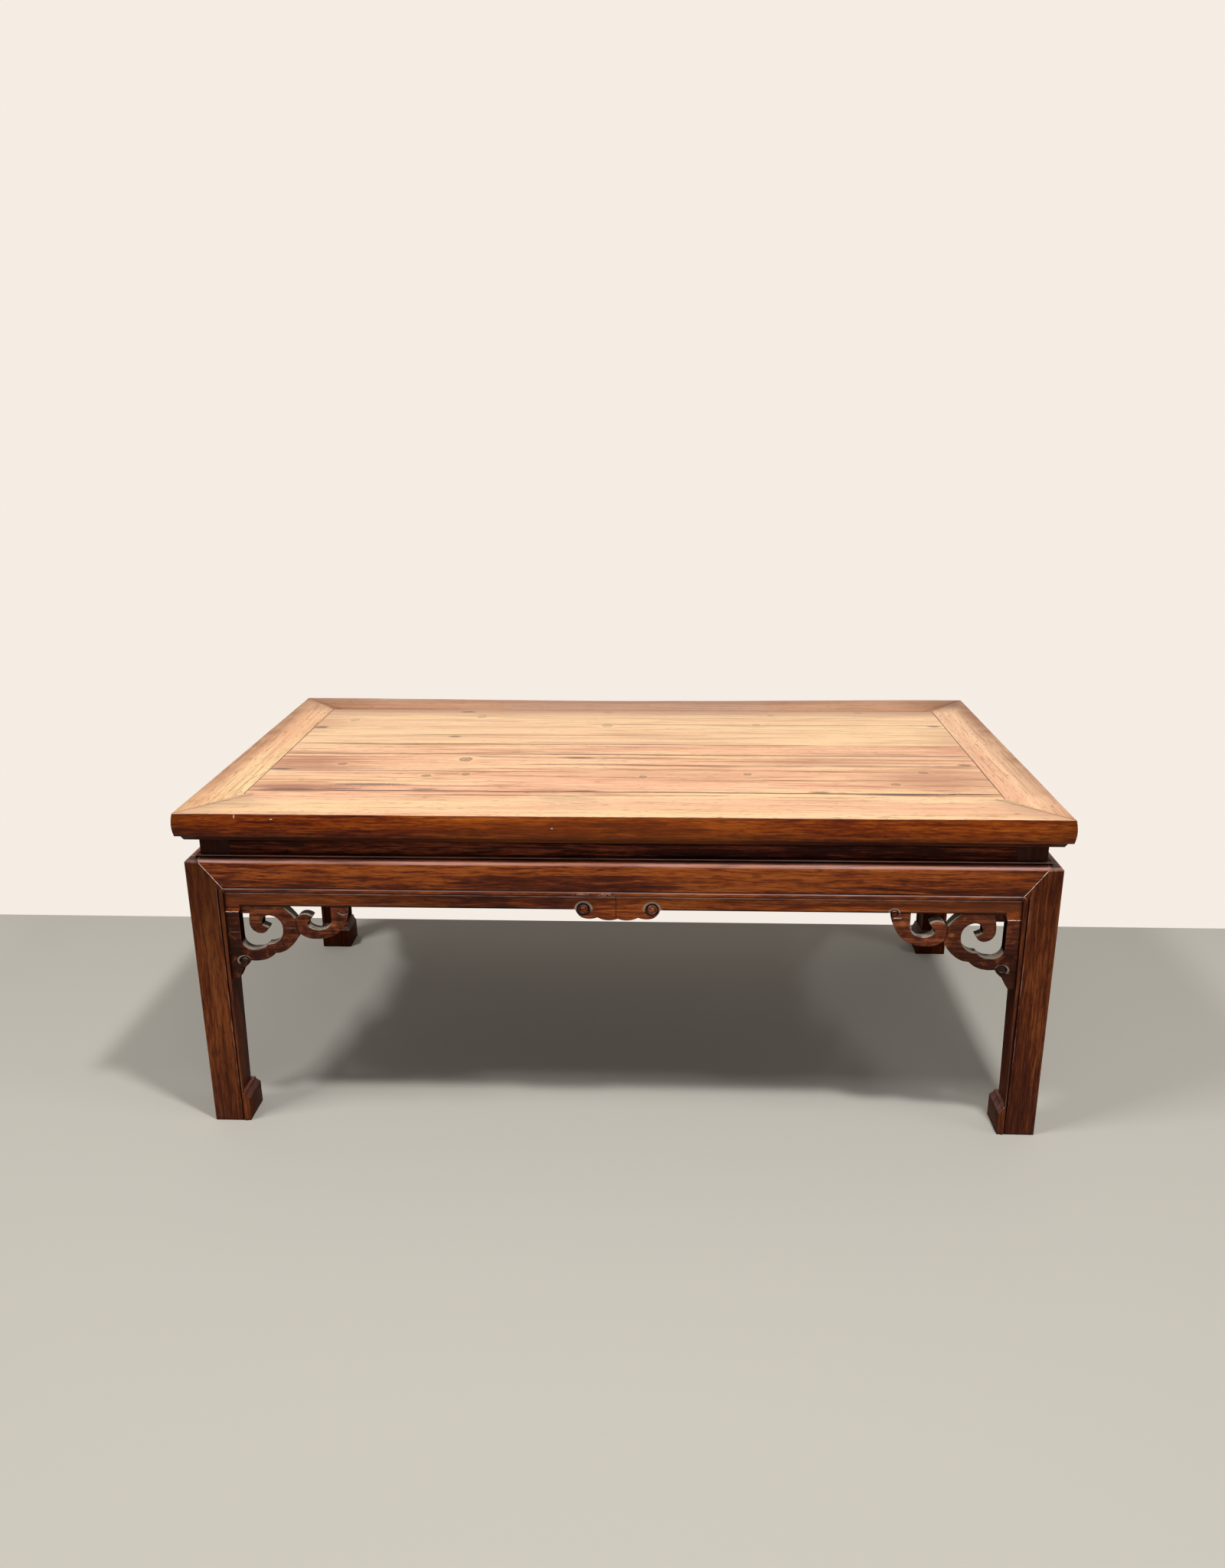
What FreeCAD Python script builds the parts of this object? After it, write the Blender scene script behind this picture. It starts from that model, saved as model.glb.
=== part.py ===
import FreeCAD, Part

import math
import os
from types import SimpleNamespace

import Sketcher

# A low kang table in hardwood, waisted, with hoof feet and openwork scroll spandrels.
# The table stands on the floor at z = 0, centred on x = 0 and y = 0, with its long
# front side towards -Y. All sizes are in millimetres.
#
# The top is a mitred frame of two long and two short members round three floating
# boards. The boards' tongues sit in the frame's groove, and three dovetailed battens
# cross them underneath. Each leg is one piece from the floor to its tenons in the top
# frame. Between the legs stand a waist board, a ledge strip, a mitred apron and an inner
# band, and a scroll spandrel fills each corner under the band.

vector = FreeCAD.Vector

SIZES = [
    # The whole table
    ("table_length", 1003, "over the crown of the top's edge"),
    ("table_width", 543, "over the crown of the top's edge"),
    ("table_height", 400, "floor to the top's face"),
    ("fit_gap", 0.2, "play on each side of a tenon, tongue or dovetail"),
    ("end_gap", 0.5, "room past the end of a tenon or tongue"),
    ("overrun", 6, "how far a cut runs past the wood"),
    # The top frame
    ("frame_thickness", 34, "top face to the foot of the lip"),
    ("long_member_width", 70, "front and rear members, on the top face"),
    ("short_member_width", 58, "left and right members, on the top face"),
    ("edge_crown", 1.5, "how far the edge swells past the top face"),
    ("edge_face", 27.5, "height of the swelling edge"),
    ("edge_round", 1.4, "rounding of the upper arris"),
    ("lip_setback", 5.5, "step from the edge back to the lip"),
    ("lip_slope", 3.5, "how far the lip slopes inward"),
    ("corner_tenon_inset", 20, "outer face of a long member to its tenon"),
    ("corner_tenon_width", 18, "front to back"),
    ("corner_tenon_lift", 10, "foot of the frame to the tenon"),
    ("corner_tenon_thickness", 10, "up and down"),
    ("corner_tenon_cover", 14, "wood left past the tenon's end"),
    ("corner_tenon_root", 40, "end of the table to the root of the tenon"),
    # The panel and its battens
    ("tongue_drop", 5, "top face to the panel's tongue"),
    ("tongue_thickness", 6, "the panel's tongue"),
    ("tongue_length", 7.5, "the panel's tongue"),
    ("front_board_width", 170, "visible width"),
    ("middle_board_width", 48, "visible width"),
    ("batten_spacing", 290, "centre to centre"),
    ("batten_width", 26, "along the table"),
    ("batten_height", 18, "below the panel"),
    ("dovetail_neck", 18, "width of the dovetail at the panel's underside"),
    ("dovetail_flare", 2, "widening on each side"),
    ("dovetail_depth", 4, "into the panel"),
    ("batten_tenon_length", 12, "into a long member"),
    ("batten_tenon_height", 9, "up and down"),
    # The legs
    ("leg_inset", 5, "edge of the top face to the leg's outer face"),
    ("leg_width", 41, "face of the leg at its top, bead included"),
    ("leg_taper", 3.5, "narrowing of the face from the apron to the foot"),
    ("lip_depth", 3, "thickness of the bead's lip, front to back"),
    ("lip_step", 2, "how far the lip stands proud of the leg's inner side"),
    ("leg_arris", 2, "rounding of the outer arris"),
    ("corner_round", 3, "inside corner of leg and apron"),
    ("bead_width", 5, "bead on the inner edge of legs and aprons"),
    ("bead_rise", 0.8, "how far the bead stands proud"),
    ("quirk_width", 1.2, "groove beside the bead"),
    ("quirk_depth", 0.9, "groove beside the bead"),
    ("hoof_width", 44, "foot, outer face to inner face"),
    ("hoof_height", 37, "floor to the small ledge"),
    ("hoof_ledge", 40, "outer face to the rim of the small ledge"),
    ("hoof_riser", 2.5, "height of the small ledge's rim"),
    ("hoof_slope", 6.5, "height of the slope below the rim"),
    ("post_width", 34, "square post through the waist"),
    ("post_tenon_edge", 2, "edge of the post to its tenons"),
    ("post_tenon_thickness", 9, "both tenons"),
    ("long_tenon_width", 18, "tenon into a long member"),
    ("long_tenon_height", 22, "tenon into a long member"),
    ("short_tenon_width", 12, "tenon into a short member"),
    ("short_tenon_height", 14, "tenon into a short member"),
    # The waist and its ledge
    ("waist_height", 21.5, "ledge to the top frame"),
    ("waist_recess", 15, "leg's outer face to the waist"),
    ("waist_thickness", 10, "waist board"),
    ("waist_tongue_thickness", 4, "end tongue of a waist board"),
    ("waist_tongue_length", 5, "end tongue of a waist board"),
    ("ledge_height", 3, "ledge strip"),
    ("ledge_projection", 5, "ledge strip past the waist"),
    ("ledge_back", 2, "ledge strip behind the waist board"),
    # The aprons
    ("apron_height", 39, "apron"),
    ("apron_thickness", 20, "apron"),
    ("apron_round", 4.5, "rounded upper edge of aprons and shoulders"),
    ("mitre_thickness", 12, "mitred layer of the apron"),
    ("mitre_toe", 4, "foot of the mitre past the leg's inner edge"),
    ("apron_tenon_length", 14, "tenon behind the mitre"),
    ("apron_tenon_thickness", 6, "tenon behind the mitre"),
    ("apron_tenon_back", 1, "mitred layer to the tenon"),
    ("apron_tenon_height", 22, "tenon behind the mitre"),
    ("apron_tenon_lift", 8, "underside of the apron to the tenon"),
    # The inner bands
    ("band_recess", 3, "apron's face to the band's face"),
    ("band_height", 18, "band"),
    ("band_thickness", 13, "band and spandrels"),
    ("band_round", 1.2, "softened upper edge of the band"),
    ("band_tongue_height", 3, "tongue into the apron"),
    ("band_tongue_thickness", 4, "tongue into the apron"),
    ("band_tongue_stop", 40, "end of the band to its tongue"),
    ("ear_width", 17.5, "downturned end of the band"),
    ("ear_drop", 7.5, "downturned end of the band"),
    ("ear_round", 7, "inside corner of the downturned end"),
    ("cartouche_width", 93, "carved middle of the front and rear bands"),
    ("cartouche_drop", 13.5, "underside of the band to the cartouche's foot"),
    # The spandrels
    ("scroll_run", 146, "leg to the free end of the spandrel"),
    ("scroll_drop", 93, "underside of the band to the spandrel's tip"),
    ("stub_length", 4, "stub tenons into the leg"),
    ("stub_thickness", 5, "stub tenons into the leg and the band"),
    ("band_stub_height", 10, "band's stub tenon"),
    ("scroll_stub_height", 30, "spandrel's stub tenon"),
    ("scroll_stub_drop", 22, "underside of the band to the spandrel's stub"),
    ("peg_width", 14, "spandrel's tab into the band"),
    ("peg_height", 5, "spandrel's tab into the band"),
    ("peg_run", 60, "leg to the spandrel's tab"),
    ("web_setback", 6, "spandrel's face to the web beside its upright"),
    ("web_drop", 12, "underside of the band to the foot of the web"),
]

document = FreeCAD.newDocument("KangTable")
sheet = document.addObject("Spreadsheet::Sheet", "Sizes")
for row, (alias, number, note) in enumerate(SIZES, start=1):
    sheet.set(f"A{row}", alias)
    sheet.set(f"B{row}", str(number))
    sheet.setAlias(f"B{row}", alias)
    sheet.set(f"C{row}", note)
document.recompute()


class Size:
    """A length that knows its number and its formula on the sheet."""

    def __init__(self, number, formula):
        self.number = float(number)
        self.formula = formula

    def __add__(self, other):
        other = as_size(other)
        return Size(self.number + other.number, f"({self.formula} + {other.formula})")

    __radd__ = __add__

    def __sub__(self, other):
        other = as_size(other)
        return Size(self.number - other.number, f"({self.formula} - {other.formula})")

    def __rsub__(self, other):
        return as_size(other) - self

    def __mul__(self, other):
        other = as_size(other)
        return Size(self.number * other.number, f"({self.formula} * {other.formula})")

    __rmul__ = __mul__

    def __truediv__(self, other):
        other = as_size(other)
        return Size(self.number / other.number, f"({self.formula} / {other.formula})")

    def __neg__(self):
        return Size(-self.number, f"(-1 * {self.formula})")


def as_size(value):
    """Take a Size as it is, and a plain factor as a Size."""
    return value if isinstance(value, Size) else Size(value, f"({value})")


s = SimpleNamespace(**{alias: Size(sheet.get(alias), f"Sizes.{alias}") for alias, _, _ in SIZES})
zero = as_size(0)

# Levels, from the top down
frame_foot = s.table_height - s.frame_thickness
ledge_top = frame_foot - s.waist_height
shoulder = ledge_top - s.ledge_height
apron_foot = shoulder - s.apron_height
band_foot = apron_foot - s.band_height
ear_foot = band_foot - s.ear_drop
panel_foot = s.table_height - s.tongue_drop - s.tongue_thickness

# Distances from the overall box to the leg, and across the leg
leg_face = s.edge_crown + s.leg_inset
blank = s.waist_recess + s.post_width
core = s.leg_width - s.lip_step
core_low = core - s.leg_taper
stub_seat = core_low - s.stub_length
stub_front = s.band_recess + (s.band_thickness - s.stub_thickness) / 2

# The corner where a curve leaves its square is this share of the radius away from it
arc_share = 1 - math.sqrt(0.5)


def side_of(name, turn, span, depth, own, adjoining):
    """Describe one side of the table as if it were the front, centred on x = 0."""
    return SimpleNamespace(
        name=name, turn=turn, span=span, depth=depth,
        own=s.edge_crown + own, adjoining=s.edge_crown + adjoining,
        end=span - leg_face, face=depth - leg_face)


half_length = s.table_length / 2
half_width = s.table_width / 2
SIDES = [
    side_of("front", 0, half_length, half_width, s.long_member_width, s.short_member_width),
    side_of("rear", 180, half_length, half_width, s.long_member_width, s.short_member_width),
    side_of("left", -90, half_width, half_length, s.short_member_width, s.long_member_width),
    side_of("right", 90, half_width, half_length, s.short_member_width, s.long_member_width),
]
ENDS = (-1, 1)
nodes = []


def turned(degrees):
    """A placement that turns a piece about the table's upright centre line."""
    return FreeCAD.Placement(vector(), FreeCAD.Rotation(vector(0, 0, 1), degrees))


def new_body(label, turn=0):
    """Start a piece of the table as a body of its own."""
    body = document.addObject("PartDesign::Body", label)
    body.Label = label
    body.Placement = turned(turn)
    nodes.append(body)
    return body


def draw(body, plane, outline, offset=None, centre=None):
    """Draw a closed outline on one of the body's planes and tie each corner to the sheet.

    Each corner is (x, y), reached by a straight line, or (x, y, mid_x, mid_y), reached by an
    arc through the middle point. The run into the first corner starts at the last one. The
    outline is measured from the centre, where one is given.
    """
    sketch = body.newObject("Sketcher::SketchObject", f"{body.Name}_sketch")
    origin_plane = [item for item in body.Origin.OriginFeatures if item.Role == plane][0]
    sketch.AttachmentSupport = [(origin_plane, "")]
    sketch.MapMode = "FlatFace"
    if offset is not None:
        sketch.setExpression("AttachmentOffset.Base.z", offset.formula)
    if centre is not None:
        sketch.setExpression("AttachmentOffset.Base.x", centre[0].formula)
        sketch.setExpression("AttachmentOffset.Base.y", centre[1].formula)
    ends = []
    for index, corner in enumerate(outline):
        start = vector(outline[index - 1][0].number, outline[index - 1][1].number, 0)
        end = vector(corner[0].number, corner[1].number, 0)
        if len(corner) == 2:
            sketch.addGeometry(Part.LineSegment(start, end), False)
            ends.append((1, 2))
            continue
        middle = vector(corner[2].number, corner[3].number, 0)
        forward = (middle - start).cross(end - middle).z > 0
        first, last = (start, end) if forward else (end, start)
        sketch.addGeometry(Part.Arc(first, middle, last), False)
        ends.append((1, 2) if forward else (2, 1))
    for index, corner in enumerate(outline):
        following = (index + 1) % len(outline)
        sketch.addConstraint(Sketcher.Constraint(
            "Coincident", index, ends[index][1], following, ends[following][0]))
        pin(sketch, index, ends[index][1], corner[0], corner[1])
    for index, corner in enumerate(outline):
        if len(corner) == 4:
            middle = vector(corner[2].number, corner[3].number, 0)
            point = sketch.addGeometry(Part.Point(middle), True)
            pin(sketch, point, 1, corner[2], corner[3])
            sketch.addConstraint(Sketcher.Constraint("PointOnObject", point, 1, index))
    return sketch


def pin(sketch, item, end, x, y):
    """Hold a point of a sketch at two formulas of the sheet."""
    for kind, size in (("DistanceX", x), ("DistanceY", y)):
        number = sketch.addConstraint(
            Sketcher.Constraint(kind, -1, 1, item, end, size.number))
        sketch.setExpression(f"Constraints[{number}]", size.formula)


def pad(body, sketch, length, both_ways=False):
    """Grow a sketch along its plane's normal, or equally both ways."""
    feature = body.newObject("PartDesign::Pad", f"{body.Name}_pad")
    feature.Profile = sketch
    feature.setExpression("Length", length.formula)
    if both_ways:
        feature.SideType = "Symmetric"
    sketch.Visibility = False
    return feature


def cut_through(body, sketch):
    """Cut a sketch right through the body, both ways."""
    feature = body.newObject("PartDesign::Pocket", f"{body.Name}_cut")
    feature.Profile = sketch
    feature.Type = "ThroughAll"
    feature.SideType = "Symmetric"
    return feature


def cut_inward(body, sketch, depth, along_normal):
    """Cut a sketch to a depth, against its plane's normal or along it."""
    feature = body.newObject("PartDesign::Pocket", f"{body.Name}_cut")
    feature.Profile = sketch
    feature.Reversed = along_normal
    feature.setExpression("Length", depth.formula)
    return feature


def block(body, kind, low, high):
    """Add or take away a box between two corners."""
    feature = body.newObject(f"PartDesign::{kind}Box", f"{body.Name}_box")
    for name, start, stop in zip(("Length", "Width", "Height"), low, high):
        feature.setExpression(name, (stop - start).formula)
    for name, start in zip("xyz", low):
        feature.setExpression(f"Placement.Base.{name}", start.formula)
    return feature


def end_block(body, kind, side, end, run, inward, level):
    """Add or take away a box measured from one end and from the outer face of a side."""
    near, far = (run[0], run[1]) if end < 0 else (run[1], run[0])
    low = (end * (side.span - near), inward[0] - side.depth, level[0])
    high = (end * (side.span - far), inward[1] - side.depth, level[1])
    return block(body, kind, low, high)


# The top frame

def edge_profile(place):
    """Outline of the moulded edge, from the top face down to the foot of the lip."""
    top = s.table_height
    step = top - s.edge_face
    start = s.edge_crown + s.edge_round
    middle = s.edge_crown + s.edge_round * arc_share
    return [
        (place(start), top),
        (place(s.edge_crown), top - s.edge_round, place(middle), top - s.edge_round * arc_share),
        (place(s.edge_crown), step, place(zero), top - s.edge_face / 2),
        (place(s.lip_setback), step),
        (place(s.lip_setback + s.lip_slope), frame_foot),
    ]


def corner_tenon_box(gap, end_room):
    """Run, inward distance and level of a long member's tenon, from the table's corner."""
    run = (s.corner_tenon_cover - end_room, s.corner_tenon_root)
    inward = (s.corner_tenon_inset - gap, s.corner_tenon_inset + s.corner_tenon_width + gap)
    level = (frame_foot + s.corner_tenon_lift - gap,
             frame_foot + s.corner_tenon_lift + s.corner_tenon_thickness + gap)
    return run, inward, level


def post_tenon_box(width, height, gap, end_room):
    """A post's tenon, from the corner of the leg: thin one way, wide the other, and its level."""
    far = blank - s.post_tenon_edge
    thin = (far - s.post_tenon_thickness - gap, far + gap)
    start = s.waist_recess + s.post_tenon_edge
    wide = (start - gap, start + width + gap)
    return thin, wide, (frame_foot, frame_foot + height + end_room)


def batten_tenon_level(gap):
    """Lower and upper level of a batten's tenon."""
    foot = panel_foot - s.batten_height + (s.batten_height - s.batten_tenon_height) / 2
    return (foot - gap, foot + s.batten_tenon_height + gap)


BATTENS = [("left", -1), ("middle", 0), ("right", 1)]


def make_frame_member(side):
    """One member of the top frame, moulded outside, grooved inside and mitred at its ends."""
    body = new_body(f"top_frame_{side.name}", side.turn)
    long_member = side.name in ("front", "rear")
    inner = side.own - side.depth
    groove = inner - s.tongue_length - s.end_gap
    groove_top = s.table_height - s.tongue_drop + s.fit_gap
    groove_foot = panel_foot - s.fit_gap
    profile = edge_profile(lambda inward: inward - side.depth) + [
        (inner, frame_foot),
        (inner, groove_foot),
        (groove, groove_foot),
        (groove, groove_top),
        (inner, groove_top),
        (inner, s.table_height),
    ]
    pad(body, draw(body, "YZ_Plane", profile), side.span * 2, both_ways=True)
    past_share = 1.05
    for end in ENDS:
        def place(inward):
            return end * (side.span - inward)
        outside = edge_profile(place) + [
            (place(s.lip_setback + s.lip_slope), frame_foot - s.overrun),
            (place(-s.overrun), frame_foot - s.overrun),
            (place(-s.overrun), s.table_height + s.overrun),
            (place(s.edge_crown + s.edge_round), s.table_height + s.overrun),
        ]
        cut_through(body, draw(body, "XZ_Plane", outside))
        waste = [
            (place(zero), -side.depth),
            (place(side.adjoining * past_share), side.own * past_share - side.depth),
            (place(-s.overrun), side.own * past_share - side.depth),
            (place(-s.overrun), -side.depth),
        ]
        cut_through(body, draw(body, "XY_Plane", waste))
        if long_member:
            end_block(body, "Additive", side, end, *corner_tenon_box(zero, zero))
            thin, wide, level = post_tenon_box(
                s.long_tenon_width, s.long_tenon_height, s.fit_gap, s.end_gap)
        else:
            run, inward, level = corner_tenon_box(s.fit_gap, s.end_gap)
            end_block(body, "Subtractive", side, end, inward, run, level)
            thin, wide, level = post_tenon_box(
                s.short_tenon_width, s.short_tenon_height, s.fit_gap, s.end_gap)
        level = (level[0] - s.overrun, level[1])
        end_block(body, "Subtractive", side, end,
                  [leg_face + part for part in thin], [leg_face + part for part in wide], level)
    if long_member:
        for _, step in BATTENS:
            middle = s.batten_spacing * step
            half = s.batten_width / 2 + s.fit_gap
            low, high = batten_tenon_level(s.fit_gap)
            block(body, "Subtractive",
                  (middle - half, inner - s.batten_tenon_length - s.end_gap, low),
                  (middle + half, inner + s.overrun, high))


# The panel

def make_boards(front, left):
    """Three floating boards, tongued into the frame and grooved for the battens."""
    inner_x = front.span - left.own
    inner_y = front.depth - front.own
    first = s.front_board_width - inner_y
    second = first + s.middle_board_width
    tongue_top = s.table_height - s.tongue_drop
    rows = [
        ("front", s.fit_gap - inner_y, first, s.tongue_length + s.fit_gap, zero),
        ("middle", first, second, zero, zero),
        ("rear", second, inner_y - s.fit_gap, zero, s.tongue_length + s.fit_gap),
    ]
    for name, low, high, front_tongue, rear_tongue in rows:
        body = new_body(f"top_board_{name}")
        block(body, "Additive", (s.fit_gap - inner_x, low, panel_foot),
              (inner_x - s.fit_gap, high, s.table_height))
        reach = inner_x + s.tongue_length
        block(body, "Additive", (-reach, low - front_tongue, panel_foot),
              (reach, high + rear_tongue, tongue_top))
        for _, step in BATTENS:
            middle = s.batten_spacing * step
            neck = s.dovetail_neck / 2 + s.fit_gap
            crown = neck + s.dovetail_flare
            roof = panel_foot + s.dovetail_depth + s.fit_gap
            outline = [
                (middle - neck, panel_foot),
                (middle - crown, roof),
                (middle + crown, roof),
                (middle + neck, panel_foot),
            ]
            cut_through(body, draw(body, "XZ_Plane", outline))


def make_battens(front):
    """Dovetailed battens under the panel, tenoned into the long members."""
    inner_y = front.depth - front.own
    foot = panel_foot - s.batten_height
    roof = panel_foot + s.dovetail_depth
    for name, step in BATTENS:
        body = new_body(f"batten_{name}")
        middle = s.batten_spacing * step
        half = s.batten_width / 2
        neck = s.dovetail_neck / 2
        crown = neck + s.dovetail_flare
        outline = [
            (middle - half, foot),
            (middle + half, foot),
            (middle + half, panel_foot),
            (middle + neck, panel_foot),
            (middle + crown, roof),
            (middle - crown, roof),
            (middle - neck, panel_foot),
            (middle - half, panel_foot),
        ]
        pad(body, draw(body, "XZ_Plane", outline), inner_y * 2, both_ways=True)
        low, high = batten_tenon_level(zero)
        reach = inner_y + s.batten_tenon_length
        block(body, "Additive", (middle - half, -reach, low), (middle + half, reach, high))


# The legs

def make_leg(front, left):
    """The front left leg: post, shoulder, beaded shaft and hoof foot, in one piece."""
    body = new_body("leg_front_left")
    near = s.leg_arris * arc_share
    plan = [
        (s.leg_arris, zero, near, near),
        (blank, zero),
        (blank, blank),
        (zero, blank),
        (zero, s.leg_arris),
    ]
    corner = (-front.end, -left.end)
    pad(body, draw(body, "XY_Plane", plan, centre=corner), frame_foot)
    for across in (False, True):
        run_bead(body, corner, across)
    # Each outer face gets the same cuts: one is drawn from the front, one from the side.
    for plane, end, face, along_normal, sign in (
            ("XZ_Plane", front.end, left.end, False, 1),
            ("YZ_Plane", left.end, front.end, True, -1)):
        cut_leg_face(body, plane, end, face, along_normal, sign)
    for low, high in (
            ((-s.overrun, -s.overrun), (blank + s.overrun, s.waist_recess)),
            ((-s.overrun, -s.overrun), (s.waist_recess, blank + s.overrun))):
        block(body, "Subtractive",
              (low[0] - front.end, low[1] - left.end, shoulder),
              (high[0] - front.end, high[1] - left.end, frame_foot + s.overrun))
    thin, wide, level = post_tenon_box(s.long_tenon_width, s.long_tenon_height, zero, zero)
    block(body, "Additive", (thin[0] - front.end, wide[0] - left.end, level[0]),
          (thin[1] - front.end, wide[1] - left.end, level[1]))
    thin, wide, level = post_tenon_box(s.short_tenon_width, s.short_tenon_height, zero, zero)
    block(body, "Additive", (wide[0] - front.end, thin[0] - left.end, level[0]),
          (wide[1] - front.end, thin[1] - left.end, level[1]))
    for across in (False, True):
        cut_leg_mortises(body, front, left, across)
    return body


def bead_section(start, outward):
    """Section of the bead and of its quirk, from the bead's inner edge outward."""
    bead = start + s.bead_width * outward
    quirk = bead + s.quirk_width * outward
    crest = (start + bead) / 2
    valley = (bead + quirk) / 2
    raised = [(start, s.quirk_depth), (bead, s.quirk_depth), (bead, zero),
              (start, zero, crest, -s.bead_rise)]
    groove = [(bead, zero), (quirk, zero), (valley, s.quirk_depth)]
    return raised, groove


def crossed(outline):
    """The same outline with its two directions exchanged."""
    return [tuple(corner[index] for index in ((1, 0) if len(corner) == 2 else (1, 0, 3, 2)))
            for corner in outline]


def run_bead(body, corner, across):
    """Bead and quirk up the inner edge of one face, then round the corner to the apron's."""
    spring = apron_foot - s.corner_round
    raised, groove = bead_section(s.leg_width, -1)
    if across:
        raised, groove = crossed(raised), crossed(groove)
    pad(body, draw(body, "XY_Plane", raised, centre=corner), spring)
    cut_inward(body, draw(body, "XY_Plane", groove, centre=corner), spring, True)
    turn = s.leg_width + s.corner_round
    centre = (corner[0], corner[1] + turn) if across else (corner[0] + turn, corner[1])
    raised, groove = bead_section(-s.corner_round, -1)
    if across:
        raised, groove = crossed(raised), crossed(groove)
    for kind, outline in (("Revolution", raised), ("Groove", groove)):
        sketch = draw(body, "XY_Plane", outline, spring, centre)
        feature = body.newObject(f"PartDesign::{kind}", f"{body.Name}_turn")
        feature.Profile = sketch
        feature.ReferenceAxis = (sketch, ["H_Axis" if across else "V_Axis"])
        feature.Angle = 90
        feature.Reversed = across


def cut_leg_face(body, plane, end, face, along_normal, sign):
    """Shape the leg as seen square to one outer face, and take out the apron's mitre."""
    far = blank + s.overrun
    rim = s.hoof_height - s.hoof_riser
    heel = rim - s.hoof_slope
    low_edge = s.leg_width - s.leg_taper
    spring = apron_foot - s.corner_round
    past = s.leg_width + s.corner_round
    near = s.corner_round * arc_share
    shaft = [
        (s.hoof_width, -s.overrun),
        (s.hoof_width, heel),
        (s.hoof_ledge, rim),
        (s.hoof_ledge, s.hoof_height),
        (low_edge, s.hoof_height),
        (s.leg_width, spring),
        (past, apron_foot, s.leg_width + near, apron_foot - near),
        (far, apron_foot),
        (far, -s.overrun),
    ]
    cut_through(body, draw(body, plane, shifted(shaft, end)))
    top_edge = [
        (-s.overrun, shoulder - s.apron_round),
        (zero, shoulder - s.apron_round),
        (s.apron_round, shoulder,
         s.apron_round * arc_share, shoulder - s.apron_round * arc_share),
        (s.apron_round, shoulder + s.overrun),
        (-s.overrun, shoulder + s.overrun),
    ]
    cut_through(body, draw(body, plane, shifted(top_edge, end)))
    behind_lip = [
        (core_low, s.hoof_height),
        (core, apron_foot),
        (far, apron_foot),
        (far, s.hoof_height),
    ]
    lip_plane = (face - s.lip_depth) * sign
    cut_inward(body, draw(body, plane, shifted(behind_lip, end), lip_plane), far, along_normal)
    mitre = [
        (s.waist_recess, shoulder),
        (s.leg_width + s.mitre_toe, apron_foot),
        (far, apron_foot),
        (far, shoulder + s.overrun),
        (s.waist_recess, shoulder + s.overrun),
    ]
    outside = (face + s.overrun) * sign
    cut_inward(body, draw(body, plane, shifted(mitre, end), outside),
               s.overrun + s.mitre_thickness, along_normal)


def shifted(outline, end):
    """Move an outline from the leg's outer corner to its place on the table."""
    moved = []
    for corner in outline:
        place = [corner[0] - end, corner[1]]
        if len(corner) == 4:
            place += [corner[2] - end, corner[3]]
        moved.append(tuple(place))
    return moved


def apron_tenon_sizes(gap):
    """Inward distance and level of the tenon at an apron's end."""
    start = s.mitre_thickness + s.apron_tenon_back
    foot = apron_foot + s.apron_tenon_lift
    return ((start - gap, start + s.apron_tenon_thickness + gap),
            (foot - gap, foot + s.apron_tenon_height + gap))


def waist_tongue_sizes(gap):
    """Inward distance of the tongue at a waist board's end."""
    start = s.waist_recess + (s.waist_thickness - s.waist_tongue_thickness) / 2
    return (start - gap, start + s.waist_tongue_thickness + gap)


def band_stub_level(gap):
    """Lower and upper level of the stub at a band's end."""
    foot = band_foot + (s.band_height - s.band_stub_height) / 2
    return (foot - gap, foot + s.band_stub_height + gap)


def scroll_stub_level(gap):
    """Lower and upper level of the stub on a spandrel's upright."""
    top = band_foot - s.scroll_stub_drop
    return (top - s.scroll_stub_height - gap, top + gap)


def cut_leg_mortises(body, front, left, across):
    """Mortises for what meets the leg from one side: apron, waist, band and spandrel."""
    inward, level = apron_tenon_sizes(s.fit_gap)
    past = blank + s.overrun
    stub = (stub_front - s.fit_gap, stub_front + s.stub_thickness + s.fit_gap)
    rows = [
        ((blank - s.apron_tenon_length - s.end_gap, past), inward, level),
        ((blank - s.waist_tongue_length - s.end_gap, past), waist_tongue_sizes(s.fit_gap),
         (ledge_top, frame_foot + s.overrun)),
        ((stub_seat - s.end_gap, past), stub, band_stub_level(s.fit_gap)),
        ((stub_seat - s.end_gap, past), stub, scroll_stub_level(s.fit_gap)),
    ]
    for run, inward, level in rows:
        first, second = (inward, run) if across else (run, inward)
        block(body, "Subtractive",
              (first[0] - front.end, second[0] - left.end, level[0]),
              (first[1] - front.end, second[1] - left.end, level[1]))


def mirrored(source, label, normal):
    """A piece that is the mirror image of another across the table's middle."""
    copy = document.addObject("Part::Mirroring", label)
    copy.Label = label
    copy.Source = source
    copy.Normal = normal
    nodes.append(copy)
    return copy


# Between the legs

def make_waist_board(side):
    """Recessed board under the top, tongued into the posts at both ends."""
    body = new_body(f"waist_board_{side.name}", side.turn)
    half = side.end - blank
    front = s.waist_recess - side.face
    block(body, "Additive", (-half, front, ledge_top),
          (half, front + s.waist_thickness, frame_foot))
    low, high = waist_tongue_sizes(zero)
    reach = half + s.waist_tongue_length
    block(body, "Additive", (-reach, low - side.face, ledge_top),
          (reach, high - side.face, frame_foot))


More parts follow.
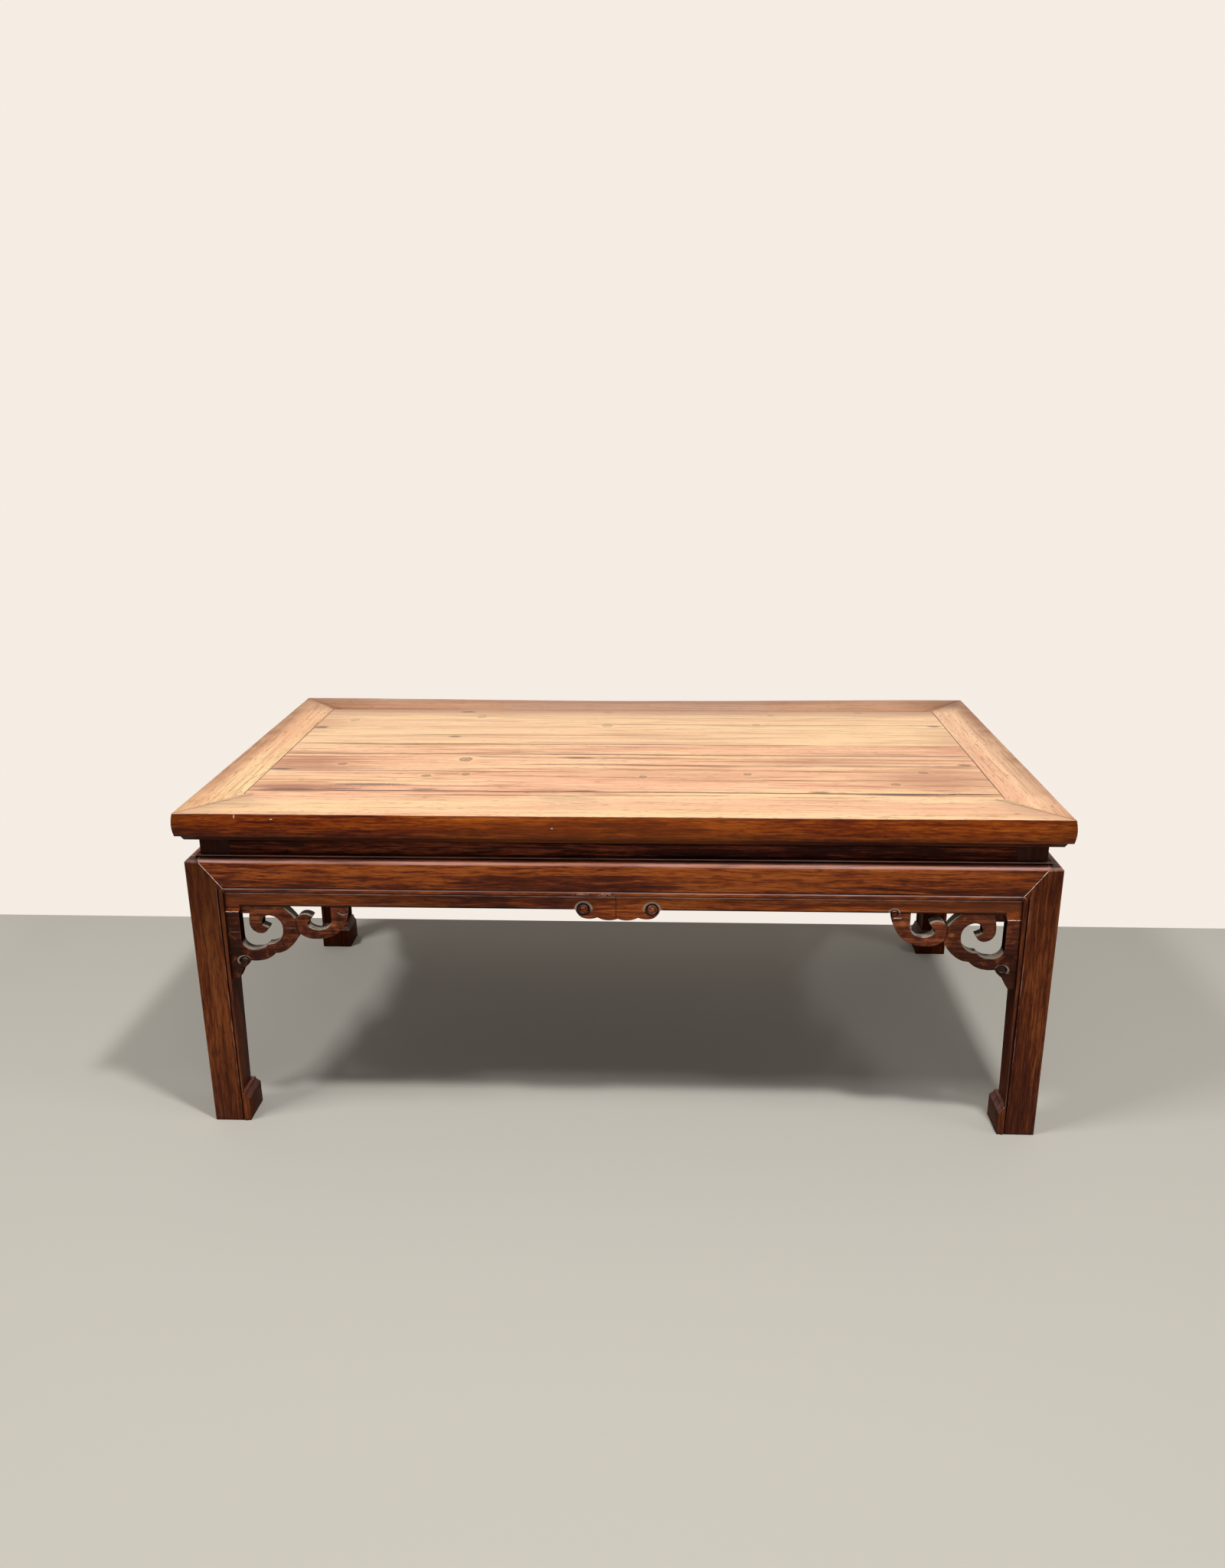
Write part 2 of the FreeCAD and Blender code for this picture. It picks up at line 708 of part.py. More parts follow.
def make_ledge(side):
    """Thin ledge strip under the waist, mitred at the corners and notched round the posts."""
    body = new_body(f"waist_ledge_{side.name}", side.turn)
    post_face = side.end - s.waist_recess
    post_inner = side.end - blank
    front = s.waist_recess - s.ledge_projection - side.face
    middle = s.waist_recess - side.face
    back = middle + s.waist_thickness + s.ledge_back
    tip = post_face + s.ledge_projection
    outline = [
        (-tip, front), (tip, front), (post_face, middle), (post_inner, middle),
        (post_inner, back), (-post_inner, back), (-post_inner, middle), (-post_face, middle),
    ]
    pad(body, draw(body, "XY_Plane", outline, shoulder), s.ledge_height)


def make_apron(side):
    """Apron with a rounded upper edge and a beaded foot, mitred and tenoned to the legs."""
    body = new_body(f"apron_{side.name}", side.turn)
    front = -side.face
    back = front + s.apron_thickness
    bead_top = apron_foot + s.bead_width
    quirk_top = bead_top + s.quirk_width
    profile = [
        (back, shoulder),
        (front + s.apron_round, shoulder),
        (front, shoulder - s.apron_round,
         front + s.apron_round * arc_share, shoulder - s.apron_round * arc_share),
        (front, quirk_top),
        (front + s.quirk_depth, bead_top + s.quirk_width / 2),
        (front, bead_top),
        (front, apron_foot, front - s.bead_rise, apron_foot + s.bead_width / 2),
        (back, apron_foot),
    ]
    reach = side.end - s.waist_recess
    pad(body, draw(body, "YZ_Plane", profile), reach * 2, both_ways=True)
    toe = side.end - s.leg_width - s.mitre_toe
    inner = side.end - blank
    inward, level = apron_tenon_sizes(zero)
    tenon_reach = inner + s.apron_tenon_length
    for end in ENDS:
        waste = [
            (end * reach, shoulder),
            (end * toe, apron_foot),
            (end * toe, apron_foot - s.overrun),
            (end * (reach + s.overrun), apron_foot - s.overrun),
            (end * (reach + s.overrun), shoulder),
        ]
        cut_through(body, draw(body, "XZ_Plane", waste))
        low, high = (inner, reach + s.overrun) if end > 0 else (-reach - s.overrun, -inner)
        block(body, "Subtractive",
              (low, front + s.mitre_thickness, apron_foot - s.overrun),
              (high, back + s.overrun, shoulder + s.overrun))
    block(body, "Additive", (-tenon_reach, inward[0] - side.face, level[0]),
          (tenon_reach, inward[1] - side.face, level[1]))
    tongue_front, tongue_back, half = band_tongue_sizes(side)
    block(body, "Subtractive",
          (-half - s.end_gap, tongue_front - s.fit_gap, apron_foot - s.overrun),
          (half + s.end_gap, tongue_back + s.fit_gap,
           apron_foot + s.band_tongue_height + s.end_gap))


def band_tongue_sizes(side):
    """Front, back and half length of the tongue on a band's upper edge."""
    middle = s.band_recess + s.band_thickness / 2 - side.face
    half_thick = s.band_tongue_thickness / 2
    half = side.end - s.leg_width - s.band_tongue_stop
    return middle - half_thick, middle + half_thick, half


# The carved outlines. Straight corners are (x, z) and arcs are (x, z, mid_x, mid_z).

def wire_from(points):
    """Closed wire through corners and arcs, each given as plain numbers."""
    edges = []
    for index, corner in enumerate(points):
        start = vector(points[index - 1][0], 0, points[index - 1][1])
        end = vector(corner[0], 0, corner[1])
        if len(corner) == 2:
            edges.append(Part.LineSegment(start, end).toShape())
        else:
            middle = vector(corner[2], 0, corner[3])
            edges.append(Part.Arc(start, middle, end).toShape())
    return Part.Wire(edges)


def plate(outer, holes, front, thickness):
    """Plate of one thickness from an outline and its holes, its face at y = front."""
    solid = Part.Face(wire_from(outer)).extrude(vector(0, thickness, 0))
    for hole in holes:
        solid = solid.cut(Part.Face(wire_from(hole)).extrude(vector(0, thickness, 0)))
    solid.translate(vector(0, front, 0))
    return solid


def box_between(low, high):
    """Plain box between two corners."""
    spans = [stop - start for start, stop in zip(low, high)]
    return Part.makeBox(*spans, vector(*low))


def add_shape(label, shape, turn):
    """Keep a shape as a piece of the table, turned to its side."""
    piece = document.addObject("Part::Feature", label)
    piece.Label = label
    piece.Shape = shape
    piece.Placement = turned(turn)
    nodes.append(piece)


# Right half of the cartouche below the band, as shares of its half width and of its drop:
# the scroll eye's cheek, then three low lobes that meet in cusps.
CARTOUCHE_SHARES = [
    (0.0, 0.82),
    (0.50, 0.71, 0.27, 0.96),
    (0.88, 0.74, 0.69, 0.85),
    (1.04, 0.0, 0.99, 0.38),
]


def cartouche_outline(half, drop, foot):
    """Cartouche along the band's underside, from its right end to its left end."""
    right = []
    for item in CARTOUCHE_SHARES:
        place = [item[0] * half, foot - item[1] * drop]
        if len(item) == 4:
            place += [item[2] * half, foot - item[3] * drop]
        right.append(place)
    outline = [(right[-1][0], right[-1][1])]
    for index in range(len(right) - 1, 0, -1):
        middle = right[index][2:]
        outline.append((*right[index - 1][:2], *middle))
    for corner in right[1:]:
        outline.append((-corner[0], corner[1], -corner[2], corner[3]))
    return outline


def make_band(side):
    """Inner band below the apron, with downturned ends and a cartouche on the long sides."""
    top = apron_foot.number
    foot = band_foot.number
    low = ear_foot.number
    front = (s.band_recess - side.face).number
    thickness = s.band_thickness.number
    slope = (s.leg_taper / (apron_foot - s.hoof_height)).number

    def leg_side(level):
        return (side.end - core).number + slope * (top - level)

    ear = s.ear_width.number
    bend = s.ear_round.number
    near = bend * arc_share
    inner = leg_side(top) - ear
    half = [
        (leg_side(top), top),
        (leg_side(low), low),
        (inner, low),
        (inner, foot - bend),
        (inner - bend, foot, inner - near, foot - near),
    ]
    outline = list(half)
    if side.name in ("front", "rear"):
        outline += cartouche_outline(
            s.cartouche_width.number / 2, s.cartouche_drop.number, foot)
    outline.append((bend - inner, foot))
    outline.append((-inner, foot - bend, near - inner, foot - near))
    outline += [(-x, z) for x, z in ((inner, low), (leg_side(low), low), (leg_side(top), top))]
    solid = plate(outline, [], front, thickness)
    tongue_front, tongue_back, tongue_half = [size.number for size in band_tongue_sizes(side)]
    solid = solid.fuse(box_between(
        (-tongue_half, tongue_front, top),
        (tongue_half, tongue_back, top + s.band_tongue_height.number)))
    stub_low, stub_high = [size.number for size in band_stub_level(zero)]
    reach = (side.end - stub_seat).number
    stub_y = (stub_front - side.face).number
    solid = solid.fuse(box_between(
        (-reach, stub_y, stub_low), (reach, stub_y + s.stub_thickness.number, stub_high)))
    peg_low, peg_high = peg_box(side, s.fit_gap.number, s.end_gap.number)
    for end in ENDS:
        solid = solid.cut(at_end(box_between(peg_low, peg_high), end))
    add_shape(f"inner_band_{side.name}", solid.removeSplitter(), side.turn)


def at_end(shape, end):
    """A shape made for the left end of a side, mirrored when it is for the right end."""
    return shape if end < 0 else shape.mirror(vector(), vector(1, 0, 0))


def peg_box(side, gap, end_room):
    """Corners of the tab on a spandrel's large scroll, at the left end of a side."""
    left = (s.peg_run - side.end + core).number
    front = (stub_front - side.face).number
    foot = band_foot.number
    low = (left - gap, front - gap, foot)
    high = (left + s.peg_width.number + gap, front + s.stub_thickness.number + gap,
            foot + s.peg_height.number + end_room)
    return low, high


# The spandrel's outline, as shares of its run from the leg and of its drop below the band.
# It starts where the upright's inner side leaves the band's downturned end and goes round
# the large scroll's opening, in one line with the narrow gap between scroll and upright.
UPRIGHT_SHARE = 0.116
HOOK_BACK_SHARE = 0.226
SCROLL_OUTER_SHARES = [
    (UPRIGHT_SHARE, 0.080),
    (UPRIGHT_SHARE, 0.470),
    (0.225, 0.592, 0.148, 0.565),
    (0.327, 0.519, 0.290, 0.570),
    (0.459, 0.320, 0.432, 0.444),
    (0.362, 0.125, 0.434, 0.185),
    (0.312, 0.155, 0.330, 0.134),
    (0.297, 0.255, 0.298, 0.205),
    (0.346, 0.292, 0.322, 0.276),
    (0.275, 0.369, 0.320, 0.350),
    (0.195, 0.215, 0.212, 0.312),
    (HOOK_BACK_SHARE, 0.0, 0.200, 0.120),
    (0.466, 0.0),
    (0.572, 0.185, 0.530, 0.098),
    (0.629, 0.105, 0.592, 0.132),
    (0.704, 0.141, 0.671, 0.110),
    (0.664, 0.215, 0.690, 0.175),
    (0.686, 0.292, 0.664, 0.255),
    (0.782, 0.312, 0.735, 0.319),
    (0.857, 0.185, 0.835, 0.263),
    (0.857, 0.0),
    (1.0, 0.0),
    (0.913, 0.339, 0.978, 0.185),
    (0.716, 0.437, 0.815, 0.420),
    (0.592, 0.361, 0.645, 0.419),
    (0.588, 0.385),
    (0.480, 0.591, 0.545, 0.495),
    (0.384, 0.640, 0.432, 0.628),
    (0.262, 0.742, 0.325, 0.712),
    (0.178, 0.745, 0.220, 0.7495),
    (0.110, 0.855, 0.152, 0.802),
    (0.064, 1.0, 0.092, 0.915),
]


def spandrel_web(origin, foot, front):
    """Thin wood left between the upright and the large scroll, under the band's end."""
    run = s.scroll_run.number
    setback = s.web_setback.number
    ear = origin + s.ear_width.number
    bend = s.ear_round.number
    near = bend * arc_share
    upright = origin + UPRIGHT_SHARE * run
    scroll = origin + HOOK_BACK_SHARE * run
    low = foot - s.web_drop.number
    outline = [
        (scroll, low),
        (scroll, foot),
        (ear + bend, foot),
        (ear, foot - bend, ear + near, foot - near),
        (ear, ear_foot.number),
        (upright, ear_foot.number),
        (upright, low),
    ]
    return plate(outline, [], front + setback, s.band_thickness.number - setback)


def make_spandrel(side, end):
    """Openwork corner piece: an upright against the leg and two opposed scrolls."""
    run = s.scroll_run.number
    drop = s.scroll_drop.number
    foot = band_foot.number
    top = apron_foot.number
    slope = (s.leg_taper / (apron_foot - s.hoof_height)).number
    front = (s.band_recess - side.face).number
    origin = (core - side.end).number

    def leg_side(level):
        return origin - slope * (top - level)

    outline = []
    for item in SCROLL_OUTER_SHARES:
        place = [origin + item[0] * run, foot - item[1] * drop]
        if len(item) == 4:
            place += [origin + item[2] * run, foot - item[3] * drop]
        outline.append(tuple(place))
    tip = foot - drop
    outline.append((leg_side(tip), tip))
    outline.append((leg_side(ear_foot.number), ear_foot.number))
    outline.append((origin + UPRIGHT_SHARE * run, ear_foot.number))
    solid = plate(outline[1:], [], front, s.band_thickness.number)
    solid = solid.fuse(spandrel_web(origin, foot, front))
    stub_low, stub_high = [size.number for size in scroll_stub_level(zero)]
    stub_y = (stub_front - side.face).number
    solid = solid.fuse(box_between(
        ((stub_seat - side.end).number, stub_y, stub_low),
        (origin + s.ear_width.number / 2, stub_y + s.stub_thickness.number, stub_high)))
    solid = solid.fuse(box_between(*peg_box(side, 0, 0)))
    hand = "left" if end < 0 else "right"
    label = f"spandrel_{side.name}_{hand}"
    add_shape(label, at_end(solid.removeSplitter(), end), side.turn)


front_side, rear_side, left_side, right_side = SIDES
for side in SIDES:
    make_frame_member(side)
make_boards(front_side, left_side)
make_battens(front_side)
front_left = make_leg(front_side, left_side)
front_right = mirrored(front_left, "leg_front_right", vector(1, 0, 0))
mirrored(front_left, "leg_rear_left", vector(0, 1, 0))
mirrored(front_right, "leg_rear_right", vector(0, 1, 0))
for side in SIDES:
    make_waist_board(side)
    make_ledge(side)
    make_apron(side)
    make_band(side)
    for end in ENDS:
        make_spandrel(side, end)
document.recompute()

for item in document.Objects:
    if "Invalid" in item.State or "Error" in item.State:
        raise RuntimeError(f"{item.Label} failed: {item.State}")
for node in nodes:
    shape = node.Shape
    if shape.isNull() or not shape.isValid() or len(shape.Solids) != 1:
        raise RuntimeError(f"{node.Label} is not one sound solid")
os.makedirs("parts", exist_ok=True)
for node in nodes:
    node.Shape.exportStep(f"parts/{node.Label}.step")
print(len(nodes), "pieces written")
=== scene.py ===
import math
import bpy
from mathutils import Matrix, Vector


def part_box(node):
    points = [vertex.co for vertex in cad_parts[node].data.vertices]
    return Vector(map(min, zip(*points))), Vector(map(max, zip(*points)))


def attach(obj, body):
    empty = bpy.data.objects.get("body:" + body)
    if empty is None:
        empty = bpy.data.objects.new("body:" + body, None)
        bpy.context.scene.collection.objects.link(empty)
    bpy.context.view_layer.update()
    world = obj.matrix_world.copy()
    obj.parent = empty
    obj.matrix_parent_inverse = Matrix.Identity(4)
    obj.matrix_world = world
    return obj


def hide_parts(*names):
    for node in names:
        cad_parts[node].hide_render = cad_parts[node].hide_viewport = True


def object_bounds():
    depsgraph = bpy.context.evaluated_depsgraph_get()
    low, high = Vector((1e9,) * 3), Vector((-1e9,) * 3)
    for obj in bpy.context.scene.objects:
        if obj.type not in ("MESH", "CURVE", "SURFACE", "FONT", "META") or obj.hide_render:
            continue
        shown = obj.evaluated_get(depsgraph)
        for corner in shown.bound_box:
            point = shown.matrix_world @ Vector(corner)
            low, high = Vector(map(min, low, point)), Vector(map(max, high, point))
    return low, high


bl_info = {
    "name": "Kang Table",
    "version": (1, 0, 0),
    "blender": (4, 5, 0),
    "location": "View3D > Sidebar > Kang Table",
    "description": "Finishes a low waisted table in worn hardwood, with scroll spandrels and hoof feet",
    "category": "Object",
}

import bmesh
import bpy
from bpy.props import FloatProperty, PointerProperty, StringProperty
from bpy.types import Operator, Panel, PropertyGroup
from mathutils import Matrix, Vector, noise

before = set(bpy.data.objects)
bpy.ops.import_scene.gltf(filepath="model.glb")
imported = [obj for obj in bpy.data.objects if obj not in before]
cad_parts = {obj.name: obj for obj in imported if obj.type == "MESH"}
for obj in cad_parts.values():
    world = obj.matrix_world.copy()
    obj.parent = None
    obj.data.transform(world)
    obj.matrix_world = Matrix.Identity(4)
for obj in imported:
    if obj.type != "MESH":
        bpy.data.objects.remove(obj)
CAD_BOX = [list(corner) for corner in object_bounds()]
MM = 0.001

# Where the pieces of the frame lie, read from the frame itself
TABLE_HIGH = Vector(CAD_BOX[1])
TOP = TABLE_HIGH.z
LEG_LOW = Vector(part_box("leg_front_left")[0])
APRON_LOW, APRON_HIGH = (Vector(corner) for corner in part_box("apron_front"))
REAR_MEMBER_LOW, REAR_MEMBER_HIGH = (Vector(corner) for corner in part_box("top_frame_rear"))
PANEL_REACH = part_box("top_frame_right")[0][0]
APRON_FOOT = APRON_LOW.z
SHOULDER = APRON_HIGH.z
EAR_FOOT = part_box("inner_band_left")[0][2]

# The bead stands proud of the legs' and aprons' faces by this much
BEAD_RISE = 0.8 * MM
LEG_FACE_X = -LEG_LOW.x - BEAD_RISE
LEG_FACE_Y = -LEG_LOW.y - BEAD_RISE
# From the middle of a side to the outer face of its leg, by the axis of the side's members
HALF_RUNS = {"x": LEG_FACE_X, "y": LEG_FACE_Y}
# From the middle of the table to the face of a side, by the same axis
FACES = {"x": LEG_FACE_Y, "y": LEG_FACE_X}
# The bands' carved faces lie behind the legs' faces by this much
BAND_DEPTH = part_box("inner_band_front")[0][1] + LEG_FACE_Y
BAND_FOOT = APRON_FOOT - 18 * MM
# A spandrel starts this far in from the leg's outer face, and runs this far along the side
# and drops this far below the band
CORE_WIDTH = 39 * MM
SCROLL_RUN = 146 * MM
SCROLL_DROP = BAND_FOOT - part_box("spandrel_front_left")[0][2]
# The legs' width, and the bead and groove along the inner edges of legs and aprons
LEG_WIDTH = 41 * MM
BEAD_WIDTH = 5 * MM
QUIRK_WIDTH = 1.2 * MM
QUIRK_LOW = APRON_FOOT + BEAD_WIDTH
HOOF_TOP = 42 * MM
WAIST_TOP = 366 * MM
# The two joints between the boards, from the middle line, and the distance in metres between
# the stretches of grain on either side of a joint
BOARD_JOINTS = (-30 * MM, 18 * MM)
BOARD_JUMP = 2.7

# Each side of the table as a turn from the front, in degrees about the upright centre line,
# and the ends of a side as signs along it
TURNS = {"front": 0, "right": 90, "rear": 180, "left": -90}
ENDS = {"left": -1, "right": 1}

# Marks on the top, in millimetres: middle, half length along the grain and half width
TOP_KNOTS = [
    (-202, -54, 8.5, 9), (-356, -76, 6, 5.5), (-240, -124, 6, 5), (-192, -117, 5, 5),
    (-213, 162, 6.5, 9), (-31, 190, 7, 8), (-29, 114, 7.5, 9), (80, 193, 5, 6), (199, 196, 6, 7),
    (205, 174, 5, 6), (180, 119, 6, 6), (333, 190, 6, 7), (-394, 139, 7, 7), (26, -124, 5, 4.5),
    (154, -111, 5, 4.5), (369, -100, 6, 5), (327, -148, 6, 4.5), (385, -184, 5, 3.5),
]
TOP_STAINS = [
    (-432, 98, 13, 7), (-428, -99, 20, 5), (-234, 53, 11, 5), (427, 116, 12, 5), (427, -68, 12, 5),
    (-58, -44, 28, 5), (-237, 187, 14, 5), (234, -179, 16, 3.4), (-45, -182, 26, 3.6),
    (-392, -179, 44, 5), (-335, -177, 36, 3), (-232, -178, 22, 3.4), (-300, -160, 60, 6),
    (330, -187, 60, 4),
]
# Browner zones of the top, in millimetres: middle, half length, half width, and strength
TOP_ZONES = [
    (-400, -170, 80, 17, 0.9), (385, -128, 100, 48, 0.65), (-405, -80, 75, 32, 0.65),
    (250, -58, 130, 16, 0.45), (-240, 60, 120, 9, 0.3), (60, -110, 160, 30, 0.25),
    (445, 40, 50, 70, 0.35), (-440, 120, 40, 50, 0.3),
]
# Where the rear member's stain has crept over the boards: middle along, half length and reach
REAR_STAINS = [(80, 42, 14), (-88, 30, 11), (-350, 60, 14), (395, 50, 12), (240, 26, 8)]
# Open joints and shakes along the top, in millimetres: distance from the middle line, start,
# stop, how far the line wanders, and half width
TOP_LINES = [
    (-30, -447, 447, 2.2, 1.7), (18, -440, 262, 1.2, 1.2), (-75, -140, 440, 1.2, 1.0),
    (-105, -447, -40, 1.4, 1.1), (-183.5, -447, 447, 2.6, 2.0), (62, -300, 120, 1.0, 0.8),
    (120, -60, 447, 1.0, 0.8),
]
# Pale nicks on the front edge, in millimetres: middle along and up, half length, half height
EDGE_NICKS = [(-429, 397, 0.8, 2.4), (-387, 394, 1.8, 0.7), (-72, 386, 1.4, 1.1)]
# Rubbed spots and hair cracks on the front spandrels, in millimetres: middle along and up,
# half length, half height
SCROLL_RUBS = [(378, 258, 5, 3.4), (-404, 264, 3.5, 6), (-330, 262, 7, 3)]
SCROLL_CRACKS = [(-379, 257.3, 8, 0.5), (-445.5, 251.5, 8, 0.5)]
# The pitted repair of the front apron, as the nicks are given, and how high its crack reaches
REPAIR_PITS = [(-13, 303, 17, 5), (-40, 305, 12, 1.5)]
REPAIR_TOP = 306 * MM

# The cartouche's scroll eyes: distance from the middle, height over the band's foot, the
# radius where the groove starts, the radius of its core, and how often it winds
EYE_OUT = 39 * MM
EYE_RISE = 0.7 * MM
EYE_RADIUS = 7.6 * MM
EYE_CORE = 2.1 * MM
EYE_TURNS = 1.6
# The spandrels' eyes: share of the run from the leg, share of the drop below the band, radius,
# where the groove starts and how far it winds, in turns, and whether it lies on the band
SPANDREL_EYES_SHARES = {
    "left": [(0.124, 0.751, 6.0 * MM, 0.0, 1.1, False), (0.955, 0.045, 5.4 * MM, 0.5, 0.5, False)],
    "right": [(0.122, 0.743, 6.0 * MM, 0.0, 1.1, False), (0.984, 0.0, 4.2 * MM, 0.5, 1.0, True)],
}
SPANDREL_CORE = 1.6 * MM
# A groove of one turn or less keeps most of its radius, and all are stretched along the run
OPEN_CORE_SHARE = 0.85
SPANDREL_STRETCH = 1.15
GROOVE_STEPS = 26
# The groove where the large scroll laps over the small one, as shares of run and drop
LAP_SHARES = [(0.571, 0.160), (0.569, 0.240), (0.575, 0.320), (0.591, 0.400)]
# The filler under the right spandrels' tips: first and last share of the run, and of the drop
TIP_FILLER_SHARES = (0.925, 0.985, 0.066)
# Painted outlines of the eyes, with a painted highlight on the rim: half sizes along and up,
# with their dark grooves of painted shade inside
CARTOUCHE_OUTLINE = (9.2 * MM, 9.0 * MM)
LOBE_OUTLINE = (7.6 * MM, 5.8 * MM)
TIP_OUTLINE = (6.0 * MM, 5.0 * MM)
GROOVE_SHARE = 0.74

# Where marks start and stop, or fade from and to. First those by their level.
APRON_GAP = (APRON_FOOT - 1.4 * MM, APRON_FOOT + 0.6 * MM)
BAND_ARRIS = (APRON_FOOT - 2.7 * MM, APRON_FOOT - 1.9 * MM)
BAND_LINE = (BAND_FOOT - 0.5 * MM, BAND_FOOT + 1.2 * MM)
BAND_JOINT = (BAND_FOOT - 1.2 * MM, BAND_FOOT - 0.5 * MM)
LEG_SHADE_LEVELS = (150 * MM, 295 * MM)
POST_SHADE = (SHOULDER - 0.5 * MM, SHOULDER + 1.5 * MM)
WAIST_SHADE = (WAIST_TOP - 8 * MM, WAIST_TOP - 3 * MM)
EDGE_FOOT = (TOP - 27 * MM, TOP - 16 * MM)
EDGE_LIP = (TOP - 28 * MM, TOP - 26 * MM)
EDGE_HEAD = (TOP - 4 * MM, TOP - 1.5 * MM)
# Along the table from its middle, to both sides
BAND_ENDS = (270 * MM, 350 * MM)
CARTOUCHE_ENDS = (50 * MM, 52 * MM)
EDGE_GLOW = (100 * MM, 260 * MM)
LONG_ENDS = (380 * MM, 500 * MM)
SHORT_MARGIN = (TABLE_HIGH.x - 36 * MM, TABLE_HIGH.x - 6 * MM)
END_JOINT = (PANEL_REACH - 2.0 * MM, PANEL_REACH - 0.6 * MM)
# From the left to the right, and from the front to the rear
LEFT_TO_RIGHT = (-200 * MM, 200 * MM)
GRIMY_BAND = (-280 * MM, -130 * MM)
MARGIN_TO_REAR = (-260 * MM, 100 * MM)
REAR_CORNERS = (175 * MM, 250 * MM)
# Inward from the legs' outer faces
STILE_EDGE = (55 * MM, 59 * MM)
EAR_EDGE = (57 * MM, 58 * MM)
LARGE_SCROLL_EDGE = (117 * MM, 124 * MM)
# How far a stain reaches from the rear member, and grime from the ends of the top's edge
REAR_STAIN_REACH = 44 * MM
EDGE_END_REACH = 60 * MM

# Dirt and painted shade in grooves and corners, painted shade on shaded walls and in carved
# grooves, and grime on what hands have touched, also used for painted shade under the apron
DIRT_AND_SHADE = "#0C0302"
PAINTED_SHADE = "#0C0403"
GRIME_AND_SHADE = "#1A0602"


def srgb(code):
    """Turn a hex sRGB colour into linear RGBA."""
    values = [int(code[i:i + 2], 16) / 255 for i in (1, 3, 5)]
    linear = [v / 12.92 if v <= 0.04045 else ((v + 0.055) / 1.055) ** 2.4 for v in values]
    return (*linear, 1.0)


# Sizes and colours that a user would change

class KANG_PG_wear(PropertyGroup):
    """Sizes of the wear: rounded corners, wandering edges, carved grooves and filler."""
    corner: FloatProperty(
        name="Corner Rounding", description="Rounding of the ordinary corners",
        default=0.7 * MM, min=0.0, max=3 * MM, subtype="DISTANCE", unit="LENGTH")
    carved: FloatProperty(
        name="Carved Rounding", description="Rounding of the corners of carved work",
        default=1.5 * MM, min=0.0, max=3 * MM, subtype="DISTANCE", unit="LENGTH")
    joint: FloatProperty(
        name="Joint Rounding", description="Rounding along the joints of the boards",
        default=0.3 * MM, min=0.0, max=2 * MM, subtype="DISTANCE", unit="LENGTH")
    sag: FloatProperty(
        name="Rear Sag", description="How far the top is worn down along its rear edge",
        default=3.0 * MM, min=0.0, max=6 * MM, subtype="DISTANCE", unit="LENGTH")
    waviness: FloatProperty(
        name="Waviness", description="How far the hand-planed edges wander",
        default=0.35 * MM, min=0.0, max=2 * MM, subtype="DISTANCE", unit="LENGTH")
    groove: FloatProperty(
        name="Carved Groove", description="Half width of the carved spiral grooves",
        default=1.25 * MM, min=0.2 * MM, max=3 * MM, subtype="DISTANCE", unit="LENGTH")
    filler: FloatProperty(
        name="Filler Bead", description="Half width of the pale filler in the open joints",
        default=0.5 * MM, min=0.1 * MM, max=2 * MM, subtype="DISTANCE", unit="LENGTH")


class KANG_PG_colours(PropertyGroup):
    """Colours of the woods, as sRGB hex values."""
    top_gold: StringProperty(name="Top Gold", description="Top, golden zones", default="#FCCB98")
    top_pink: StringProperty(name="Top Pink", description="Top, pinker zones", default="#F4B78E")
    top_line: StringProperty(name="Top Line", description="Top, dark grain", default="#A05A2E")
    rail_light: StringProperty(name="Rail Light", description="Aprons, lighter", default="#A04E18")
    rail_dark: StringProperty(name="Rail Dark", description="Aprons, darker", default="#3A1004")
    leg_light: StringProperty(name="Leg Light", description="Legs, lighter", default="#80401C")
    leg_dark: StringProperty(name="Leg Dark", description="Legs, darker", default="#3E1406")
    waist_light: StringProperty(name="Waist Light", description="Waist, lighter", default="#7E3A20")
    waist_dark: StringProperty(name="Waist Dark", description="Waist, darker", default="#260A04")
    # The rubbed upper edges' colour also gives them their painted highlight
    worn_and_highlight: StringProperty(name="Worn Arris", description="Rubbed upper edges", default="#CDA298")
    # The dust colour also gives upper walls and eye rims a painted sheen
    dust_and_sheen: StringProperty(name="Dust", description="Dust on upper walls of scrolls", default="#A89E90")
    filler: StringProperty(name="Filler", description="Old filler in the joints", default="#EAD6CC")
    floor: StringProperty(name="Floor", description="Pale floor", default="#C9C5BB")
    wall: StringProperty(name="Wall", description="Paler ground behind the table", default="#F5EDE4")


# Small helpers for modelling

def pick(*pieces):
    """Select only these pieces, and make the first one active."""
    if bpy.context.object and bpy.context.object.mode != "OBJECT":
        bpy.ops.object.mode_set(mode="OBJECT")
    bpy.ops.object.select_all(action="DESELECT")
    for piece in pieces:
        piece.select_set(True)
    bpy.context.view_layer.objects.active = pieces[0]


def copy_of(node):
    """A copy of a piece of the frame as one merged mesh of flat faces."""
    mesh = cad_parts[node].data.copy()
    piece = bpy.data.objects.new(f"{node}_worn", mesh)
    bpy.context.scene.collection.objects.link(piece)
    mesh.materials.clear()
    pick(piece)
    bpy.ops.object.mode_set(mode="EDIT")
    bpy.ops.mesh.select_all(action="SELECT")
    bpy.ops.mesh.remove_doubles(threshold=0.002 * MM)
    bpy.ops.mesh.dissolve_limited(angle_limit=math.radians(0.5))
    bpy.ops.object.mode_set(mode="OBJECT")
    return piece


def apply_modifier(piece, kind, **settings):
    """Add a modifier with its settings, and apply it."""
    modifier = piece.modifiers.new(kind.title(), kind)
    for name, value in settings.items():
        setattr(modifier, name, value)
    pick(piece)
    bpy.ops.object.modifier_apply(modifier=modifier.name)


# Corners sharper than the first angle are rounded, and blunter than the second shaded smooth
SHARP_ANGLE = math.radians(28)
SMOOTH_ANGLE = math.radians(35)


